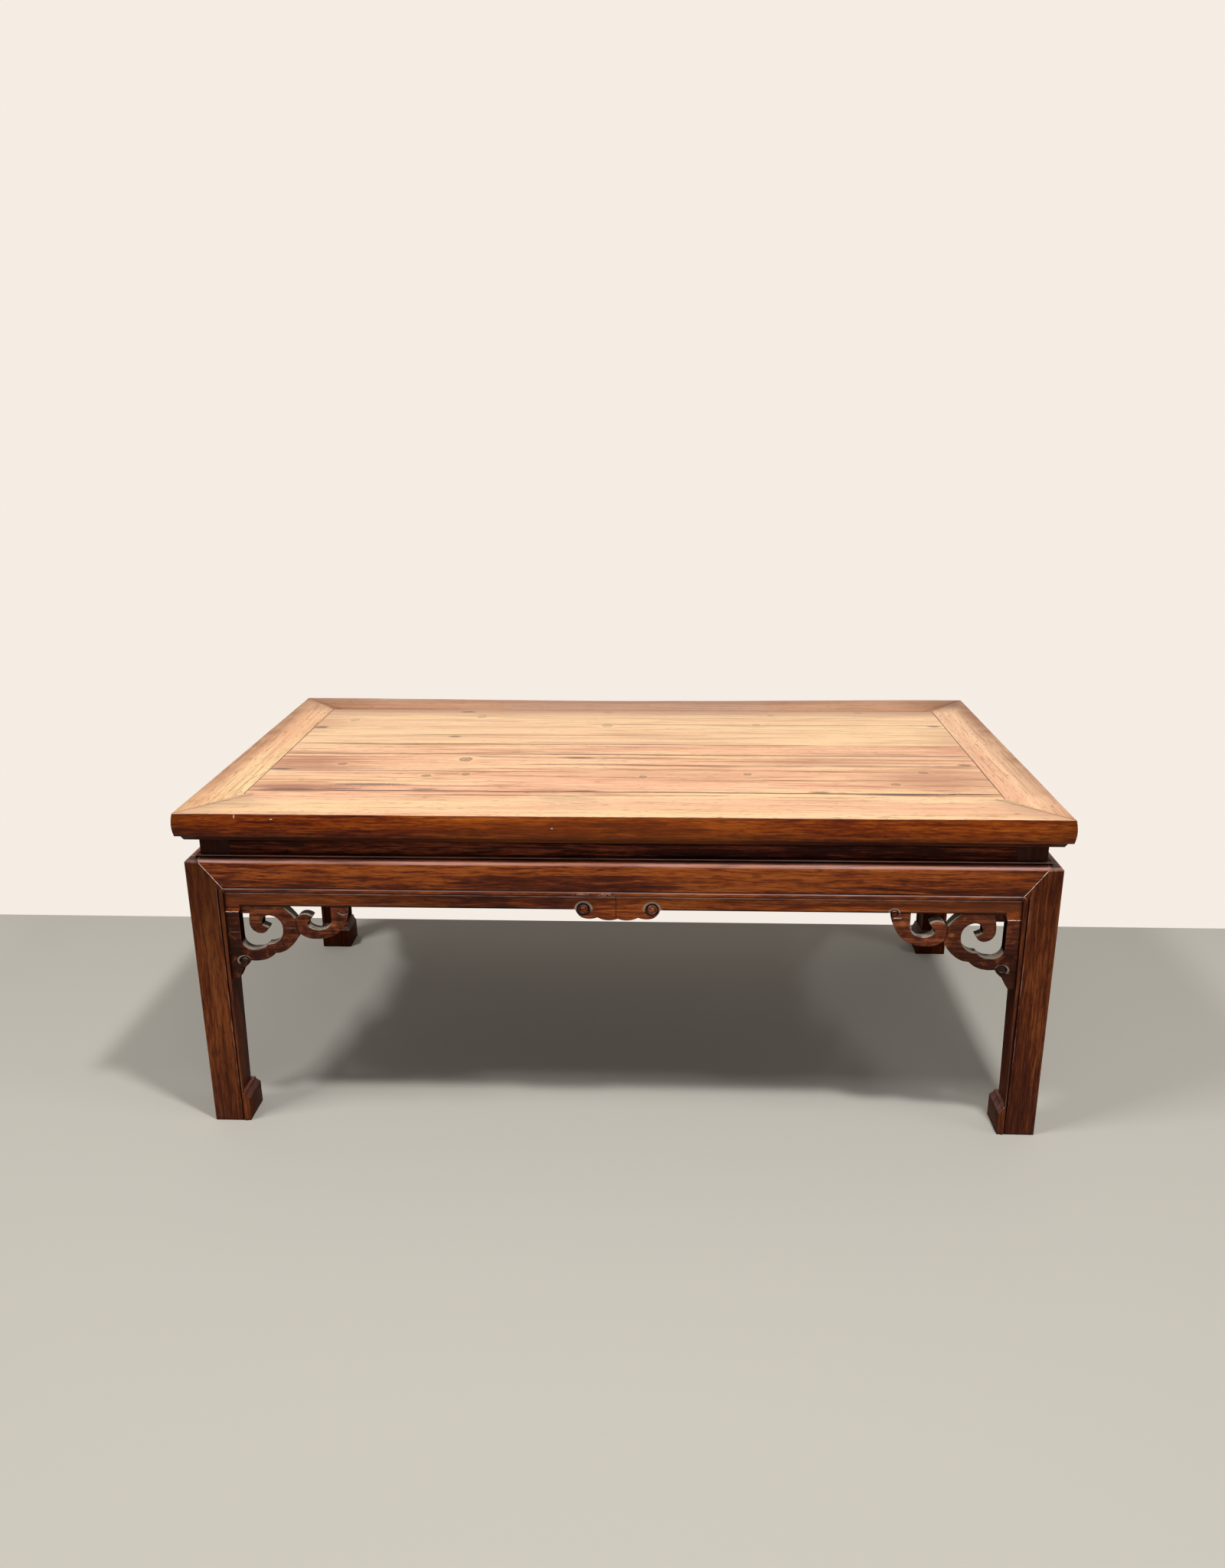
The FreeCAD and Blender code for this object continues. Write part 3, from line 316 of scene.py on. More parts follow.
def round_corners(piece, width, segments):
    """Round every sharp corner of a piece."""
    apply_modifier(
        piece, "BEVEL", width=width, segments=segments, limit_method="ANGLE",
        angle_limit=SHARP_ANGLE, miter_outer="MITER_ARC", use_clamp_overlap=True)


def worn_copy(node, width, segments=2):
    """A copy of a piece of the frame with its corners rounded."""
    piece = copy_of(node)
    round_corners(piece, width, segments)
    return piece


def slice_along(piece, axis, step):
    """Cut a piece across at even steps along an axis, so that it can be bent."""
    low = min(v.co[axis] for v in piece.data.vertices)
    high = max(v.co[axis] for v in piece.data.vertices)
    count = int((high - low) / step)
    normal = [0.0, 0.0, 0.0]
    normal[axis] = 1.0
    pick(piece)
    bpy.ops.object.mode_set(mode="EDIT")
    for index in range(1, count):
        place = [0.0, 0.0, 0.0]
        place[axis] = low + (high - low) * index / count
        bpy.ops.mesh.select_all(action="SELECT")
        bpy.ops.mesh.bisect(plane_co=place, plane_no=normal)
    bpy.ops.object.mode_set(mode="OBJECT")


# The waves that a hand plane leaves: how many there are to a metre, the steps at which a
# member bends, the length at its ends that stays straight, and how the waves of one level
# differ from those of the next. Vector noise starts from the clock unless it has a seed.
WAVES_PER_METRE = 9.0
WAVE_STEP = 30 * MM
HELD_END = 60 * MM
LEVEL_STEP = 6 * MM
LEVEL_SHIFT = 0.15
WAVE_START = Vector((7.3, 1.7, 0.0))
WAVE_SEED = 5


def hand_plane(piece, side):
    """Let a long member wander a little along its run, and hold its ends where they are."""
    axis = "xy".index(along(side))
    slice_along(piece, axis, WAVE_STEP)
    noise.seed_set(WAVE_SEED)
    reach = max(abs(v.co[axis]) for v in piece.data.vertices)
    for vertex in piece.data.vertices:
        place = vertex.co.copy()
        hold = min(1.0, (reach - abs(place[axis])) / HELD_END)
        wave = WAVE_START.copy()
        wave[axis] += place[axis] * WAVES_PER_METRE
        wave.z += round(place.z / LEVEL_STEP) * LEVEL_SHIFT
        drift = noise.noise_vector(wave)
        drift[axis] = 0.0
        vertex.co = place + drift * wear().waviness * hold


def tube(name, places, width, shares):
    """A tube of mesh through places, with its width times a share at each one."""
    data = bpy.data.curves.new(name, "CURVE")
    data.dimensions = "3D"
    data.bevel_depth = width
    data.bevel_resolution = 2
    data.resolution_u = 6
    data.use_fill_caps = True
    spline = data.splines.new("NURBS")
    spline.points.add(len(places) - 1)
    for point, place, share in zip(spline.points, places, shares):
        point.co = (*place, 1.0)
        point.radius = share
    spline.order_u = 3
    spline.use_endpoint_u = True
    piece = bpy.data.objects.new(name, data)
    bpy.context.scene.collection.objects.link(piece)
    pick(piece)
    bpy.ops.object.convert(target="MESH")
    return bpy.context.object


def carve(piece, cutter):
    """Cut a shape out of a piece, and remove the cutter."""
    apply_modifier(piece, "BOOLEAN", object=cutter, operation="DIFFERENCE", solver="EXACT")
    bpy.data.objects.remove(cutter)


def along(side):
    """Name of the axis that a side's members run along."""
    return "x" if side in ("front", "rear") else "y"


def on_side(side, x, depth, z):
    """A place on one side: along it from its middle, behind the leg's face, and up."""
    place = Vector((x, depth - FACES[along(side)], z))
    return Matrix.Rotation(math.radians(TURNS[side]), 3, "Z") @ place


def on_spandrel(axis, end, run_share, drop_share):
    """Place along a side and level of a point on a spandrel, by the axis of the side."""
    return (end * (HALF_RUNS[axis] - CORE_WIDTH - run_share * SCROLL_RUN),
            BAND_FOOT - drop_share * SCROLL_DROP)


def finish(piece, node, material):
    """Give a piece its material and its place in the table."""
    piece.data.materials.clear()
    piece.data.materials.append(material)
    pick(piece)
    bpy.ops.object.shade_smooth_by_angle(angle=SMOOTH_ANGLE)
    if node:
        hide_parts(node)
    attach(piece, "root")


# Materials

# Short names for some kinds of node, with the settings that they always have here
KINDS = {
    "tint": ("Mix", {"data_type": "RGBA"}),
    "remap": ("MapRange", {}),
    "ease": ("MapRange", {"interpolation_type": "SMOOTHSTEP"}),
}


def add_node(tree, kind, *values, output=None, **settings):
    """Add a node with its settings, fill its inputs in their order, and return an output.

    A kind in capitals is an operation of the math node. A value is a number, a vector, a hex
    colour or another node's output, and None leaves an input as it is.
    """
    kind, preset = KINDS.get(kind, (kind, {}))
    if kind.isupper():
        kind, preset = "Math", {"operation": kind}
    item = tree.nodes.new("ShaderNode" + kind)
    for name, value in {**preset, **settings}.items():
        setattr(item, name, value)
    for socket, value in zip([socket for socket in item.inputs if socket.enabled], values):
        if isinstance(value, bpy.types.NodeSocket):
            tree.links.new(value, socket)
        elif value is not None:
            socket.default_value = srgb(value) if isinstance(value, str) else value
    if output:
        return item.outputs[output]
    return next((socket for socket in item.outputs if socket.enabled), None)


def new_tree(name, roughness, specular):
    """Start a material, and return it with its tree and its shader."""
    material = bpy.data.materials.new(name)
    material.use_nodes = True
    tree = material.node_tree
    shader = tree.nodes["Principled BSDF"]
    shader.inputs["IOR"].default_value = 1.5
    shader.inputs["Specular IOR Level"].default_value = specular
    shader.inputs["Roughness"].default_value = roughness
    return material, tree, shader


def parts_of(tree, vector):
    """The three parts of a place or a direction."""
    return add_node(tree, "SeparateXYZ", vector).node.outputs


def directions(tree):
    """The parts of the direction that a surface faces: Z is 1 on a flat top, 0 on a wall."""
    return parts_of(tree, add_node(tree, "NewGeometry", output="Normal"))


def inner_face(tree, parts, across, strength):
    """A mask for painted shade on the faces that turn to the table's middle along an axis."""
    turned = add_node(
        tree, "MULTIPLY", directions(tree)[across], add_node(tree, "SIGN", parts[across]))
    return add_node(tree, "remap", turned, -0.8, -0.5, strength, 0.0)


def line_at(tree, away, middle, half, soft, strength):
    """A mask along the line where a distance has one value, with its half width and fade."""
    off = add_node(tree, "ABSOLUTE", add_node(tree, "SUBTRACT", away, middle))
    return add_node(tree, "remap", off, half, soft, strength, 0.0)


# How far the rubbed arrises, with their painted highlight, reach over a face, and dirt and
# painted shade out of a corner
ARRIS_REACH = 1.3 * MM
DIRT_AND_SHADE_REACH = 4 * MM
# The length and width of the slow bends in the grain
BEND_LENGTH = 455 * MM
BEND_WIDTH = 111 * MM


def arrises(tree):
    """How near a surface lies to an outer corner, from rays sent inside the wood."""
    inner = add_node(
        tree, "AmbientOcclusion", None, ARRIS_REACH, output="AO", samples=8, inside=True,
        only_local=True)
    return add_node(tree, "remap", inner, 0.45, 0.85, 1.0, 0.0)


def between(tree, value, low, high, soft=0.3 * MM):
    """A mask that is 1 from a low to a high value, with soft ends."""
    start = add_node(tree, "remap", value, low - soft, low)
    return add_node(
        tree, "MULTIPLY", start, add_node(tree, "remap", value, high, high + soft, 1.0, 0.0))


def grain_places(tree, coordinates, axis, bend=3.0 * MM):
    """Places in metres with the grain laid along the first axis, gently bent."""
    turn = {"x": (0, 0, 0), "y": (0, 0, math.radians(-90)), "z": (0, math.radians(90), 0)}[axis]
    turned = add_node(tree, "Mapping", coordinates, None, turn)
    scale = (1 / BEND_LENGTH, 1 / BEND_WIDTH, 1 / BEND_WIDTH)
    slow = add_node(tree, "Mapping", turned, None, None, scale)
    drift = add_node(tree, "TexNoise", slow, output="Color")
    centred = add_node(tree, "VectorMath", drift, (0.5, 0.5, 0.5), operation="SUBTRACT")
    scaled = add_node(tree, "VectorMath", centred, (0, 2 * bend, 2 * bend), operation="MULTIPLY")
    return add_node(tree, "VectorMath", turned, scaled, operation="ADD")


def streaks(tree, places, length, width, detail=3.0, roughness=0.6, distortion=0.0):
    """Noise drawn out along the grain, with a streak's length and width in millimetres."""
    along, across = 1 / (length * MM), 1 / (width * MM)
    stretched = add_node(tree, "Mapping", places, None, None, (along, across, across))
    return add_node(tree, "TexNoise", stretched, 1.0, detail, roughness, None, distortion)


def ellipses(tree, coordinates, marks, plane="xy"):
    """Distance from each mark's middle in its own half sizes, with its parts, and half width.

    A mark is (middle, middle, half size, half size) in millimetres in the plane named.
    """
    for first, second, wide, high in marks:
        scale = [0.0, 0.0, 0.0]
        centre = [0.0, 0.0, 0.0]
        for axis, middle, half in zip(plane, (first, second), (wide, high)):
            scale["xyz".index(axis)] = 1 / (half * MM)
            centre["xyz".index(axis)] = -middle / half
        local = add_node(tree, "Mapping", coordinates, centre, None, scale)
        away = add_node(tree, "VectorMath", local, operation="LENGTH")
        yield away, parts_of(tree, local), high * MM


def spots(tree, coordinates, marks, edge=0.5, plane="xy"):
    """A mask that is 1 inside any of the marks, with ragged soft edges."""
    ragged = streaks(tree, coordinates, 3.846, 2.381, detail=2.0)
    total = 0.0
    for away, _, _ in ellipses(tree, coordinates, marks, plane):
        away = add_node(tree, "MULTIPLY_ADD", ragged, 0.9, add_node(tree, "ADD", away, -0.45))
        total = add_node(tree, "MAXIMUM", add_node(tree, "remap", away, 1.0, edge), total)
    return total


def zones(tree, coordinates, marks, ragged):
    """The strongest of some soft zones, each (middle, middle, half, half, strength)."""
    total = 0.0
    for first, second, wide, high, strength in marks:
        away = next(ellipses(tree, coordinates, [(first, second, wide, high)]))[0]
        away = add_node(tree, "ADD", away, ragged)
        total = add_node(
            tree, "MAXIMUM", add_node(tree, "remap", away, 1.3, 0.3, 0.0, strength), total)
    return total


def part_round_knots(tree, coordinates):
    """Lead the grain round the knots of the top, and give the knots and their halos."""
    shift = 0.0
    nearest = 9.0
    for away, parts, width in ellipses(tree, coordinates, TOP_KNOTS):
        pull = add_node(tree, "ease", away, 0.5, 3.0, 0.85, 0.0)
        moved = add_node(tree, "MULTIPLY", parts["Y"], pull)
        shift = add_node(tree, "MULTIPLY_ADD", moved, -width, shift)
        nearest = add_node(tree, "MINIMUM", away, nearest)
    ragged = streaks(tree, coordinates, 6.667, 6.667, detail=2.0)
    nearest = add_node(
        tree, "MULTIPLY_ADD", ragged, 0.7, add_node(tree, "SUBTRACT", nearest, 0.35))
    core = add_node(tree, "remap", nearest, 1.0, 0.75, 0.0, 0.55)
    core = add_node(tree, "MAXIMUM", core, line_at(tree, nearest, 0.85, 0.10, 0.22, 0.75))
    core = add_node(tree, "MAXIMUM", core, add_node(tree, "remap", nearest, 0.35, 0.15, 0.0, 0.8))
    halo = add_node(tree, "remap", nearest, 2.4, 1.1)
    offset = add_node(tree, "CombineXYZ", None, shift)
    moved = add_node(tree, "VectorMath", coordinates, offset, operation="ADD")
    return moved, core, halo


# The lines of the top wander in waves of this length, each line in its own, and their ends
# fade over a length in millimetres
LINE_WAVE = 71.4 * MM
LINE_SHIFT = 3.1
LINE_FADE = 25


def open_lines(tree, coordinates, lines):
    """Dark wandering lines along the top, where joints and shakes have opened."""
    parts = parts_of(tree, coordinates)
    total = 0.0
    for index, (y, start, stop, wander, half) in enumerate(lines):
        shift = (0, LINE_SHIFT * index, 0)
        run = add_node(tree, "Mapping", coordinates, shift, None, (1 / LINE_WAVE, 0, 0))
        drift = add_node(tree, "TexNoise", run, 1.0)
        drift = add_node(tree, "MULTIPLY_ADD", drift, 2 * wander * MM, -(wander + y) * MM)
        away = add_node(tree, "ABSOLUTE", add_node(tree, "ADD", parts["Y"], drift))
        line = add_node(tree, "remap", away, 0.35 * half * MM, 1.3 * half * MM, 1.0, 0.0)
        for low, high, *ends in ((start, start + LINE_FADE, 0.0, 1.0),
                                 (stop - LINE_FADE, stop, 1.0, 0.0)):
            end = add_node(tree, "remap", parts["X"], low * MM, high * MM, *ends)
            line = add_node(tree, "MULTIPLY", line, end)
        total = add_node(tree, "MAXIMUM", line, total)
    return total


def dark_grain(tree, places, stops):
    """Colour and height of dark oiled hardwood with soft streaks and fine dark flecks."""
    tone = streaks(tree, places, 384.6, 50, detail=2.0)
    bands = streaks(tree, places, 142.9, 5.263, roughness=0.65, distortion=0.3)
    fibre = streaks(tree, places, 33.33, 2.128, detail=3.0, roughness=0.75)
    flecks = streaks(tree, places, 16.67, 2.083, detail=2.0, roughness=0.6)
    mixed = add_node(tree, "MULTIPLY_ADD", tone, 0.50, add_node(tree, "MULTIPLY", bands, 0.48))
    mixed = add_node(tree, "MULTIPLY_ADD", fibre, 0.52, mixed)
    colour = add_node(tree, "ValToRGB", add_node(tree, "remap", mixed, 0.60, 0.90))
    elements = colour.node.color_ramp.elements
    while len(elements) < len(stops):
        elements.new(0.5)
    for element, (place, code) in zip(elements, stops):
        element.position = place
        element.color = srgb(code)
    pore_mask = add_node(tree, "remap", flecks, 0.54, 0.66)
    colour = add_node(tree, "tint", add_node(tree, "MULTIPLY", pore_mask, 0.45), colour, "#150704")
    height = add_node(tree, "MULTIPLY", fibre, 0.10 * MM)
    height = add_node(tree, "MULTIPLY_ADD", pore_mask, -0.10 * MM, height)
    height = add_node(tree, "MULTIPLY_ADD", tone, 0.9 * MM, height)
    return colour, height, bands


def pale_grain(tree, places, tones, strength=1.0):
    """Colour and height of the bleached top: golden and pinker zones, thin darker grain."""
    gold, pink, line = tones
    tone = streaks(tree, places, 555.6, 45.45, detail=2.0)
    bands = streaks(tree, places, 294.1, 10, detail=4.0, roughness=0.7, distortion=0.3)
    threads = streaks(tree, places, 166.7, 3.704, detail=2.0, roughness=0.7)
    fibre = streaks(tree, places, 41.67, 1.111, roughness=0.7)
    pores = streaks(tree, places, 16.67, 2.083, detail=1.0)
    colour = add_node(tree, "tint", add_node(tree, "remap", tone, 0.42, 0.58), gold, pink)
    colour = add_node(
        tree, "tint", add_node(tree, "remap", bands, 0.44, 0.36, 0.0, 0.55 * strength), colour,
        "#FFE2B0")
    dark = add_node(tree, "remap", bands, 0.51, 0.64)
    colour = add_node(tree, "tint", add_node(tree, "MULTIPLY", dark, 0.8 * strength), colour, line)
    thread = add_node(tree, "remap", threads, 0.57, 0.65)
    colour = add_node(
        tree, "tint", add_node(tree, "MULTIPLY", thread, 0.35 + 0.4 * strength), colour, line)
    colour = add_node(
        tree, "tint", add_node(tree, "remap", fibre, 0.45, 0.70, 0.0, 0.3), colour, line)
    pore_mask = add_node(tree, "remap", pores, 0.64, 0.70)
    colour = add_node(tree, "tint", add_node(tree, "MULTIPLY", pore_mask, 0.5), colour, "#6A3F28")
    height = add_node(tree, "MULTIPLY", fibre, 0.10 * MM)
    height = add_node(tree, "MULTIPLY_ADD", dark, -0.12 * MM, height)
    height = add_node(tree, "MULTIPLY_ADD", tone, 0.7 * MM, height)
    return colour, height


def dirt_and_corner_shade(tree, colour, rise):
    """Old dirt and painted shade in corners that neither hands nor cloths reach."""
    hollow = add_node(tree, "AmbientOcclusion", None, DIRT_AND_SHADE_REACH, output="AO", samples=8)
    darkening = add_node(tree, "remap", hollow, 0.38, 0.88, 0.9, 0.0)
    darkening = add_node(tree, "MULTIPLY", darkening, add_node(tree, "remap", rise, 0.3, 0.9, 1.0, 0.3))
    return add_node(tree, "tint", darkening, colour, DIRT_AND_SHADE)


def set_relief(tree, shader, height):
    """Drive the shader's normal from a height in metres."""
    bump = add_node(tree, "Bump", 0.6, 1.0, None, height)
    tree.links.new(bump, shader.inputs["Normal"])


# Oil and wax long dulled by use give the wood a broad, soft shine
WAXED_ROUGHNESS = 0.42


def hardwood(name, axis, stops, pale, spoil, rub_and_highlight=0.8, flat=0.35, specular=0.15, patches=0.5):
    """Old oiled hardwood, hand planed, with grain along an axis.

    Soft patches and fine dark flecks run along the grain. Upper edges and arrises are paler
    with wear and a painted highlight, flat tops by a share of that, and corners hold dark dirt
    and painted shade. A function that spoils the wood changes its colour and height, and says
    where shade is painted, where the shine is taken away too.
    """
    material, tree, shader = new_tree(name, WAXED_ROUGHNESS, specular)
    coordinates = add_node(tree, "TexCoord", output="Object")
    places = grain_places(tree, coordinates, axis)
    colour, height, bands = dark_grain(tree, places, stops)
    rise = directions(tree)["Z"]
    patchy = add_node(tree, "remap", bands, 0.36, 0.58, patches, 1.0)
    handled = streaks(tree, coordinates, 303, 303, detail=2.0)
    patchy = add_node(
        tree, "MULTIPLY", patchy, add_node(tree, "remap", handled, 0.38, 0.58, patches, 1.0))
    # Up-facing curves and arrises are paler with wear and a painted highlight
    lit_crest = add_node(
        tree, "MULTIPLY", add_node(tree, "ease", rise, 0.18, 0.55),
        add_node(tree, "remap", rise, 0.88, 0.98, rub_and_highlight, rub_and_highlight * flat))
    edge = add_node(
        tree, "MULTIPLY", arrises(tree), add_node(tree, "remap", rise, -0.3, 0.4, 0.10, 0.5))
    rubbed_and_highlit = add_node(tree, "MULTIPLY", add_node(tree, "MAXIMUM", lit_crest, edge), patchy)
    colour = add_node(tree, "tint", rubbed_and_highlit, colour, pale)
    colour, height, painted_shade_mask = spoil(tree, coordinates, colour, height)
    # The painted shade also takes away the shine
    shine = add_node(tree, "remap", painted_shade_mask, 0.0, 0.8, specular, 0.0)
    tree.links.new(shine, shader.inputs["Specular IOR Level"])
    colour = dirt_and_corner_shade(tree, colour, rise)
    tree.links.new(colour, shader.inputs["Base Color"])
    rough = add_node(
        tree, "remap", bands, 0.3, 0.7, WAXED_ROUGHNESS - 0.06, WAXED_ROUGHNESS + 0.10)
    tree.links.new(rough, shader.inputs["Roughness"])
    set_relief(tree, shader, height)
    return material


def chosen(*names):
    """The colours set in the sidebar, by name."""
    colours = bpy.context.scene.kang_colours
    return [getattr(colours, name) for name in names]


def wear():
    """The wear set in the sidebar."""
    return bpy.context.scene.kang_wear


def material_named(name, maker):
    """A material made once and shared by like pieces."""
    return bpy.data.materials.get(name) or maker(name)


def rail_stops():
    """Red brown, from the dark streaks to the orange lights."""
    light, dark = chosen("rail_light", "rail_dark")
    return [(0.0, dark), (0.45, "#65290F"), (0.8, light), (1.0, "#A65C26")]


def edge_stops():
    """The top's edge: a little redder than the rails."""
    return [(0.0, "#441303"), (0.4, "#742C06"), (0.8, "#A24E10"), (1.0, "#B4641C")]


def old_repair(tree, coordinates, colour, height):
    """A pitted repair in the middle of the front rail, and a crack down through it."""
    parts = parts_of(tree, coordinates)
    front = add_node(tree, "LESS_THAN", parts["Y"], 0.0)
    pits = streaks(tree, coordinates, 2.381, 2.381, detail=2.0, roughness=0.7)
    patch = spots(tree, coordinates, REPAIR_PITS, 0.4, "xz")
    patch = add_node(tree, "MULTIPLY", patch, front)
    speckled = add_node(
        tree, "tint", add_node(tree, "remap", pits, 0.42, 0.6), "#2A120A", "#B88A72")
    colour = add_node(tree, "tint", add_node(tree, "MULTIPLY", patch, 0.75), colour, speckled)
    height = add_node(
        tree, "MULTIPLY_ADD", add_node(tree, "MULTIPLY", pits, patch), 2 * MM, height)
    wander = streaks(tree, coordinates, math.inf, 11.11, detail=2.0)
    away = add_node(
        tree, "MULTIPLY_ADD", wander, 2.4 * MM, add_node(tree, "ADD", parts["X"], 1 * MM))
    crack = add_node(tree, "remap", add_node(tree, "ABSOLUTE", away), 0.2 * MM, 0.7 * MM, 0.8, 0.0)
    crack = add_node(tree, "MULTIPLY", crack, add_node(tree, "LESS_THAN", parts["Z"], REPAIR_TOP))
    crack = add_node(tree, "MULTIPLY", crack, front)
    colour = add_node(tree, "tint", crack, colour, "#120604")
    # The band is grimier to the left of the repair
    grimy = add_node(tree, "MULTIPLY", front, between(tree, parts["X"], *GRIMY_BAND, 25 * MM))
    grimy = add_node(
        tree, "MULTIPLY", grimy,
        add_node(tree, "remap", parts["Z"], APRON_FOOT - 3 * MM, APRON_FOOT - 2 * MM, 0.45, 0.0))
    return add_node(tree, "tint", grimy, colour, GRIME_AND_SHADE), height


def out_along(tree, parts, axis):
    """Distance inward from the legs' outer faces, along a side whose members run on an axis."""
    out = add_node(tree, "ABSOLUTE", parts[axis.upper()])
    return add_node(tree, "SUBTRACT", HALF_RUNS[axis], out)


def rail_lines(tree, coordinates, colour, height, axis):
    """Painted shade in the quirk over the bead and in the gap under it, over the band's pale
    arris, which has a painted highlight besides its wear.
    """
    parts = parts_of(tree, coordinates)
    across = "Y" if axis == "x" else "X"
    face = FACES[axis]
    out = add_node(tree, "ABSOLUTE", parts[across])
    # Painted shade in the quirk and in the gap under the bead
    quirk = between(tree, parts["Z"], QUIRK_LOW, QUIRK_LOW + QUIRK_WIDTH)
    gap = between(tree, parts["Z"], *APRON_GAP)
    dark = add_node(
        tree, "MULTIPLY", add_node(tree, "MAXIMUM", quirk, gap),
        add_node(tree, "remap", out, face - 5 * MM, face - 4 * MM, 0.0, 0.85))
    cloud = streaks(tree, coordinates, 33.33, 33.33)
    line = between(tree, parts["Z"], *BAND_ARRIS)
    line = add_node(tree, "MULTIPLY", line, add_node(tree, "remap", cloud, 0.35, 0.6, 0.2, 0.75))
    worn_and_highlight, = chosen("worn_and_highlight")
    colour = add_node(tree, "tint", line, colour, worn_and_highlight)
    colour = add_node(tree, "tint", dark, colour, DIRT_AND_SHADE)
    # The band is lighter with wear towards its ends, and a painted shadow lines its foot
    end = add_node(tree, "remap", add_node(tree, "ABSOLUTE", parts["X"]), *BAND_ENDS, 0.0, 0.16)
    band = between(tree, parts["Z"], BAND_FOOT, APRON_FOOT - 2.5 * MM)
    colour = add_node(tree, "tint", add_node(tree, "MULTIPLY", end, band), colour, "#C06A30")
    foot = add_node(tree, "MULTIPLY", 0.9, between(tree, parts["Z"], *BAND_LINE, 1.2 * MM))
    ear = add_node(tree, "remap", out_along(tree, parts, axis), *EAR_EDGE)
    if axis == "x":
        # The cartouche hangs below the band's foot in the middle
        ear = add_node(
            tree, "MULTIPLY", ear,
            add_node(tree, "remap", add_node(tree, "ABSOLUTE", parts["X"]), *CARTOUCHE_ENDS))
        eye = (EYE_OUT, BAND_FOOT + EYE_RISE, *CARTOUCHE_OUTLINE)
        colour = eye_outline(tree, coordinates, colour, axis, eye, 0.0)
    colour = add_node(tree, "tint", add_node(tree, "MULTIPLY", foot, ear), colour, DIRT_AND_SHADE)
    colour = eye_outline(tree, coordinates, colour, axis, tip_eye(axis), 0.0, True)
    # Painted shade on the faces turned to the middle of the table
    inner = inner_face(tree, parts, across, 0.8)
    return add_node(tree, "tint", inner, colour, "#100503"), height, inner


def rail_wood(axis, repaired=False):
    """The aprons' and bands' wood: red brown with short darker streaks along the rail."""
    def spoil(tree, coordinates, colour, height):
        colour, height, painted_shade_mask = rail_lines(tree, coordinates, colour, height, axis)
        if repaired:
            colour, height = old_repair(tree, coordinates, colour, height)
        return colour, height, painted_shade_mask

    return material_named(
        f"hardwood_rail_{axis}" + ("_repaired" if repaired else ""),
        lambda name: hardwood(name, axis, rail_stops(), *chosen("worn_and_highlight"), spoil=spoil))


def leg_wood():
    """The legs' wood: darker, with upright grain, and browner towards their tops under the apron,
    where shade is painted.
    """
    light, dark = chosen("leg_light", "leg_dark")
    return material_named(
        "hardwood_leg",
        lambda name: hardwood(
            name, "z", [(0.0, dark), (0.45, "#5A2811"), (0.8, light), (1.0, "#8C5026")],
            *chosen("worn_and_highlight"), rub_and_highlight=0.6, specular=0.09, spoil=leg_marks))


def leg_marks(tree, coordinates, colour, height):
    """Painted shade on the posts, on the inner faces and in the grooves beside pale arrises
    along the beads.
    """
    parts = parts_of(tree, coordinates)
    cloud = streaks(tree, coordinates, 25, 25)
    inner = grooves = rubbed_and_highlit = 0.0
    for across, other, reach, face in (("X", "Y", LEG_FACE_X, LEG_FACE_Y),
                                       ("Y", "X", LEG_FACE_Y, LEG_FACE_X)):
        out = add_node(tree, "ABSOLUTE", parts[across])
        inner = add_node(tree, "MAXIMUM", inner_face(tree, parts, across, 0.62), inner)
        # Lines on the outer faces, measured from the leg's inner edge
        off = add_node(tree, "SUBTRACT", out, reach - LEG_WIDTH)
        outer = add_node(
            tree, "remap", add_node(tree, "ABSOLUTE", parts[other]), face - 3 * MM, face - 2 * MM)
        beside = BEAD_WIDTH + QUIRK_WIDTH
        groove = between(tree, off, BEAD_WIDTH, beside, 0.5 * MM)
        groove = add_node(tree, "MULTIPLY", outer, groove)
        grooves = add_node(tree, "MAXIMUM", groove, grooves)
        arris = between(tree, off, beside + 0.6 * MM, beside + 1.2 * MM)
        arris = add_node(tree, "MULTIPLY", outer, arris)
        rubbed_and_highlit = add_node(tree, "MAXIMUM", arris, rubbed_and_highlit)
    below = add_node(tree, "remap", parts["Z"], APRON_FOOT + 4 * MM, APRON_FOOT + 6 * MM, 1.0, 0.0)
    hoof = add_node(tree, "remap", parts["Z"], HOOF_TOP, HOOF_TOP + 3 * MM)
    # Painted shade on the inner faces
    colour = add_node(tree, "tint", inner, colour, "#240C06")
    rubbed_and_highlit = add_node(
        tree, "MULTIPLY", add_node(tree, "MULTIPLY", rubbed_and_highlit, below),
        add_node(tree, "MULTIPLY", hoof, add_node(tree, "remap", cloud, 0.45, 0.62, 0.0, 0.4)))
    worn_and_highlight, = chosen("worn_and_highlight")
    colour = add_node(tree, "tint", rubbed_and_highlit, colour, worn_and_highlight)
    # Painted shade in the grooves beside the beads
    grooves = add_node(tree, "MULTIPLY", add_node(tree, "MULTIPLY", grooves, below), 0.8)
    colour = add_node(tree, "tint", grooves, colour, "#140604")
    above = add_node(tree, "remap", parts["Z"], *POST_SHADE, 0.0, 0.75)
    colour = add_node(tree, "tint", above, colour, "#30120A")
    # Painted shade under the apron, most of it at the table's left
    high = add_node(tree, "remap", parts["Z"], *LEG_SHADE_LEVELS)
    darkening = add_node(
        tree, "MULTIPLY", high, add_node(tree, "remap", parts["X"], *LEFT_TO_RIGHT, 0.60, 0.26))
    return add_node(tree, "tint", darkening, colour, GRIME_AND_SHADE), height, inner


